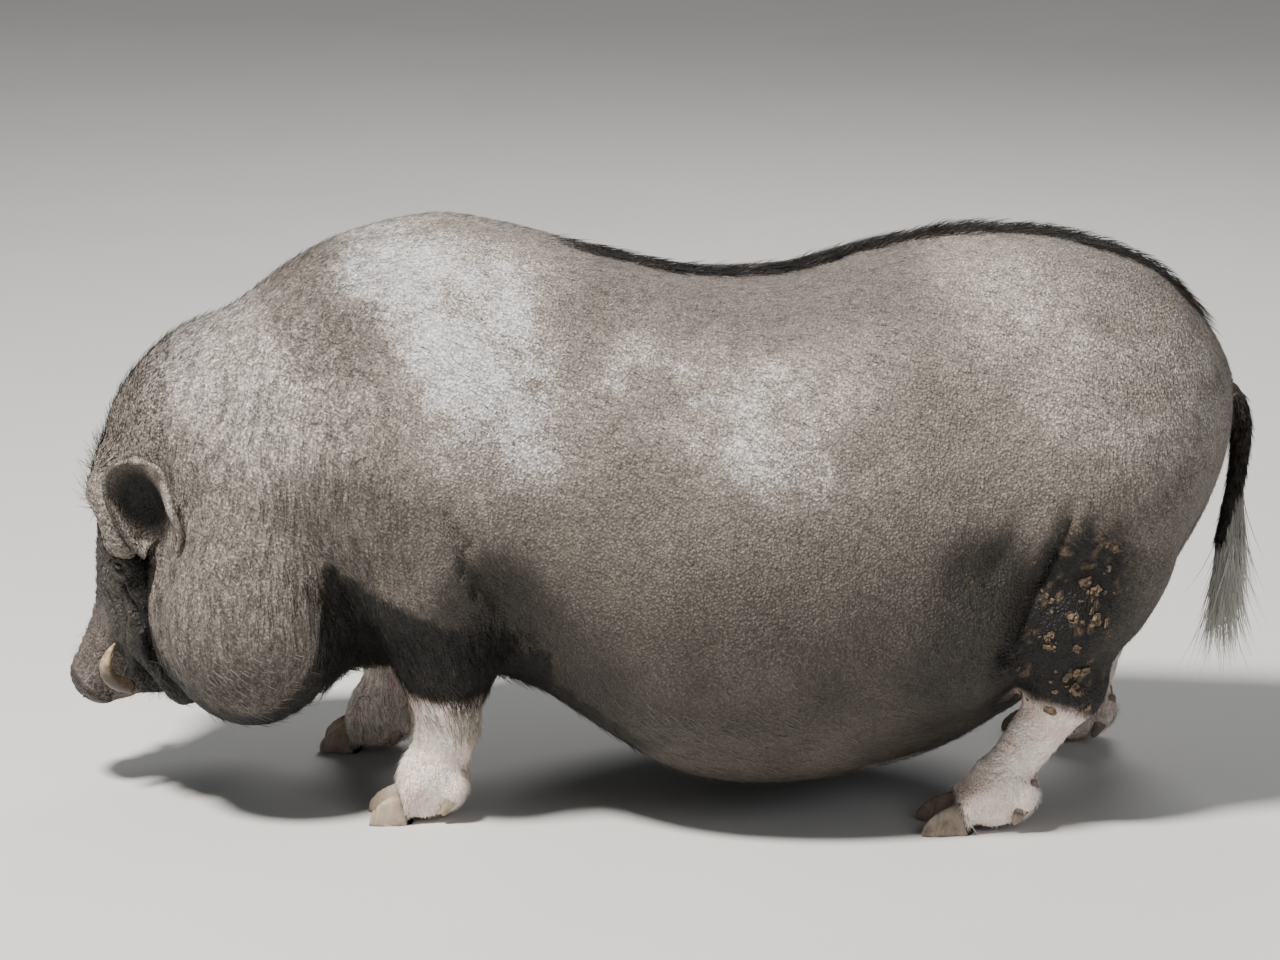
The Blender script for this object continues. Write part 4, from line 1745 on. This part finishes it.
for side, word in SIDES:
    axis = np.array((EAR_AXIS.x, EAR_AXIS.y * -side, EAR_AXIS.z))
    mouth = np.array((EAR_MOUTH.x, EAR_MOUTH.y * -side, EAR_MOUTH.z))
    roots, normals = roots_on_mesh(ears[side].data, 2200, lambda p, n: 1 - ease(n @ mouth, 0.2, 0.5), 30 + side)
    grow(f"ear_hair_{word}", roots, normals, np.tile(axis + (0.25, 0.0, 0.0), (len(roots), 1)), 0.0075, 0.00050, 0.22,
         BODY_HAIR, tone=0.5, curl=0.15, seed=30 + side)

# %% Tail: short hair above, and the tassel


def tail_x(height):
    heights = [place[2] for place in TAIL_PATH][::-1]
    places = [place[0] for place in TAIL_PATH][::-1]
    return np.interp(height, heights, places)


roots, normals = roots_on_mesh(tail.data, 2600, lambda p, n: (p[:, 2] < 0.385) * 1.0, 33)
grow("tail_hair", roots, normals, np.tile((0.0, 0.0, -1.0), (len(roots), 1)), 0.013, 0.00065, 0.16, BLACK_BRISTLE,
     droop=0.05, seed=33)
chance = np.random.default_rng(34)
count = int(900 * HAIR_SHARE)
height = chance.uniform(0.232, 0.305, count)
angle = chance.uniform(0, math.tau, count)
out = np.stack([np.cos(angle), np.sin(angle), 0 * angle], axis=1)
roots = np.stack([tail_x(height), 0 * height, height], axis=1) + out * 0.0055
lies = out * np.array((0.11, 0.11, 0.0)) + np.array((-0.03, 0.0, -1.0))
low_tone = 0.38 + 0.62 * (0.305 - height) / 0.073
grow("tassel", roots, out, lies, 0.116, 0.0010, 0.05, TASSEL_HAIR, curl=0.12, spread=0.09, tone=low_tone,
     segments=4, seed=34)

# %% Eyelashes and whiskers
for side, word in SIDES:
    lid = EYE_CENTRE + EYE_OUT * 0.0095
    shares = np.random.default_rng(36).uniform(-1, 1, 46)
    line = [lid + EYE_LINE * (0.0105 * s) + Vector((0, 0, 0.0035 + 0.002 * (1 - s * s))) for s in shares]
    roots = np.array([(point.x, point.y * side, point.z) for point in line])
    out = np.array((EYE_OUT.x, EYE_OUT.y * side, EYE_OUT.z))
    grow(f"lashes_{word}", roots, np.tile(out, (len(roots), 1)), np.tile((0.0, 0.0, -1.0), (len(roots), 1)), 0.0095,
         0.00042, 0.85, BLACK_BRISTLE, droop=0.35, tone=0.1, segments=3, seed=36)


def chin_density(p, n):
    x, y, z = p.T
    return (x < -0.455) * (z < 0.150) * ease((p - np.array(NOSE_CENTRE)) @ np.array(-NOSE_NORMAL), 0.012, 0.025)


roots, normals = roots_on_skin(260, chin_density, 37)
grow("whiskers", roots, normals, np.tile((-0.4, 0.0, -1.0), (len(roots), 1)), 0.017, 0.00045, 0.45, STRAW_FRINGE,
     droop=0.15, segments=3, seed=37)
# %% Flakes of dried mud


def make_mud_flakes(name, count, density, seed):
    """Flat uneven lumps that cling to the skin."""
    chance = np.random.default_rng(seed)
    roots, normals = roots_on_skin(count / HAIR_SHARE, density, seed)
    bm = bmesh.new()
    for root, normal in zip(roots, normals):
        size = 0.0016 + 0.0050 * chance.uniform() ** 2
        shape = Matrix.Diagonal((size, size * chance.uniform(0.45, 0.90), size * 0.32, 1.0))
        turn = Vector(normal).to_track_quat("Z", "Y").to_matrix().to_4x4()
        spin = Matrix.Rotation(chance.uniform(0, math.tau), 4, "Z")
        place = Matrix.Translation(root) @ turn @ spin @ shape
        lump = bmesh.ops.create_icosphere(bm, subdivisions=2, radius=1.0, matrix=place)
        for vert in lump["verts"]:
            vert.co += Vector(chance.normal(0, size * 0.17, 3))
    mesh = bpy.data.meshes.new(name)
    bm.to_mesh(mesh)
    bm.free()
    material, shader, place = start_material("dried_mud")
    mud = place.mix((0.055, 0.038, 0.024, 1.0), (0.190, 0.135, 0.085, 1.0), place.grain(260.0).ramp(0.35, 0.65))
    finish_material(shader, {"Base Color": mud, "Roughness": 0.9})
    mesh.materials.append(material)
    return add_object(name, mesh)


mud_flakes = make_mud_flakes("mud_flakes", 110, lambda p, n: near_line(
    p, ((0.385, 0.265), (0.380, 0.200), (0.368, 0.150)), 0.050) * (np.abs(p[:, 1]) > 0.09)
    * (rough_noise(p, 0.022, 39) > 0.15), 38)
print("coat", sum(len(piece.data.polygons) for piece in COAT), "triangles in", len(COAT), "pieces")

# %% [markdown]
# ## Fitting the pieces to the frame
# All meshes so far lie in the body's own coordinates. They move by the shift measured at the
# start. Each piece then rides on the model's only body and says which solids it stands for.

# %% Into the frame
bpy.data.objects.remove(skin_map)
FLESH = ["head", "neck", "torso", "rump", "snout"]
FLESH += [f"{part}_{word}" for part in ("foreleg", "forefoot", "thigh", "shank", "hindfoot") for _, word in SIDES]


def dress(piece, slot, *nodes):
    """Moves a piece into the frame and says what it stands for."""
    piece.data.transform(Matrix.Translation(SHIFT))
    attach(piece, "root")
    if nodes:
        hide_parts(*nodes)


dress(skin, "skin", *FLESH)
for side, word in SIDES:
    dress(ears[side], "skin", f"ear_{word}")
    dress(eyes[side], "eye", f"eye_{word}")
    dress(tusks[side], "tusk", f"tusk_{word}")
for node, horn in horns.items():
    dress(horn, "claw", node)
dress(tail, "tail_hair", "tail")
dress(mud_flakes, "skin")
for piece in COAT:
    dress(piece, "tail_hair" if piece.name in ("tassel", "tail_hair") else "skin")
pieces = [skin, tail, mud_flakes, *ears.values(), *eyes.values(), *tusks.values(), *horns.values(), *COAT]
for piece in pieces:
    piece.data.calc_loop_triangles()
print("dressed", len(pieces), "pieces,", sum(len(piece.data.loop_triangles) for piece in pieces), "triangles")

# %% [markdown]
# ## Camera, floor and light
# The camera stands level with the pig's back and looks a little down, from far enough away
# that the legs hardly converge. A big soft lamp high on the left gives the form, a weaker
# one fills the shadows, and a pale floor sweeps up behind.

# %% Camera
CAMERA_TARGET = Vector((-0.0160, 0.0, 0.2955))
CAMERA_DISTANCE = 4.6
CAMERA_RISE = 14          # degrees above the level
SENSOR = 36.0
FRAME_WIDTH_AT_PIG = 1280 / 1060.0        # metres across the picture, at the pig's middle

rise = math.radians(CAMERA_RISE)
away = Vector((0.0, -math.cos(rise), math.sin(rise)))
camera_data = bpy.data.cameras.new("camera")
camera_data.sensor_width = SENSOR
camera_data.lens = SENSOR * CAMERA_DISTANCE / FRAME_WIDTH_AT_PIG
camera = bpy.data.objects.new("camera", camera_data)
camera.location = CAMERA_TARGET + away * CAMERA_DISTANCE
camera.rotation_euler = (-away).to_track_quat("-Z", "Y").to_euler()
bpy.context.scene.collection.objects.link(camera)
bpy.context.scene.camera = camera
print("lens", round(camera_data.lens), "mm")

# %% Floor and lamps


def make_floor():
    bm = bmesh.new()
    bmesh.ops.create_grid(bm, x_segments=1, y_segments=1, size=6.0)
    mesh = bpy.data.meshes.new("floor")
    bm.to_mesh(mesh)
    bm.free()
    floor = add_object("floor", mesh)
    floor.location.z = -0.0005
    material, shader, place = start_material("pale_floor")
    soft = place.grain(3.0)
    floor_colour = place.mix((0.60, 0.59, 0.57, 1.0), (0.66, 0.65, 0.63, 1.0), soft)
    finish_material(shader, {"Base Color": floor_colour, "Roughness": 0.9})
    mesh.materials.append(material)
    return floor


def make_lamp(name, place, size, power, tint):
    data = bpy.data.lights.new(name, "AREA")
    data.shape = "DISK"
    data.size = size
    data.energy = power
    data.color = tint
    lamp = bpy.data.objects.new(name, data)
    lamp.location = place
    lamp.rotation_euler = (Vector((0.0, 0.0, 0.3)) - Vector(place)).to_track_quat("-Z", "Y").to_euler()
    bpy.context.scene.collection.objects.link(lamp)
    return lamp


floor = make_floor()
make_lamp("key", (-1.4, -1.4, 3.7), 0.7, 385, (1.0, 0.96, 0.91))
make_lamp("fill", (2.4, -2.8, 2.2), 2.0, 22, (0.95, 0.97, 1.0))
make_lamp("rim", (0.6, 2.6, 2.4), 1.6, 45, (1.0, 1.0, 1.0))
world = bpy.data.worlds.new("studio")
world.use_nodes = True
world.node_tree.nodes["Background"].inputs["Color"].default_value = (0.80, 0.84, 0.90, 1.0)
world.node_tree.nodes["Background"].inputs["Strength"].default_value = 0.17
bpy.context.scene.world = world
print("three lamps and a pale floor")

# %% [markdown]
# ## Sizes
# The dressed pig has to keep the size of its solids. Both boxes are written out, so that
# they can be compared.

# %% Boxes of the solids and of the dressed pig
bpy.context.view_layer.update()
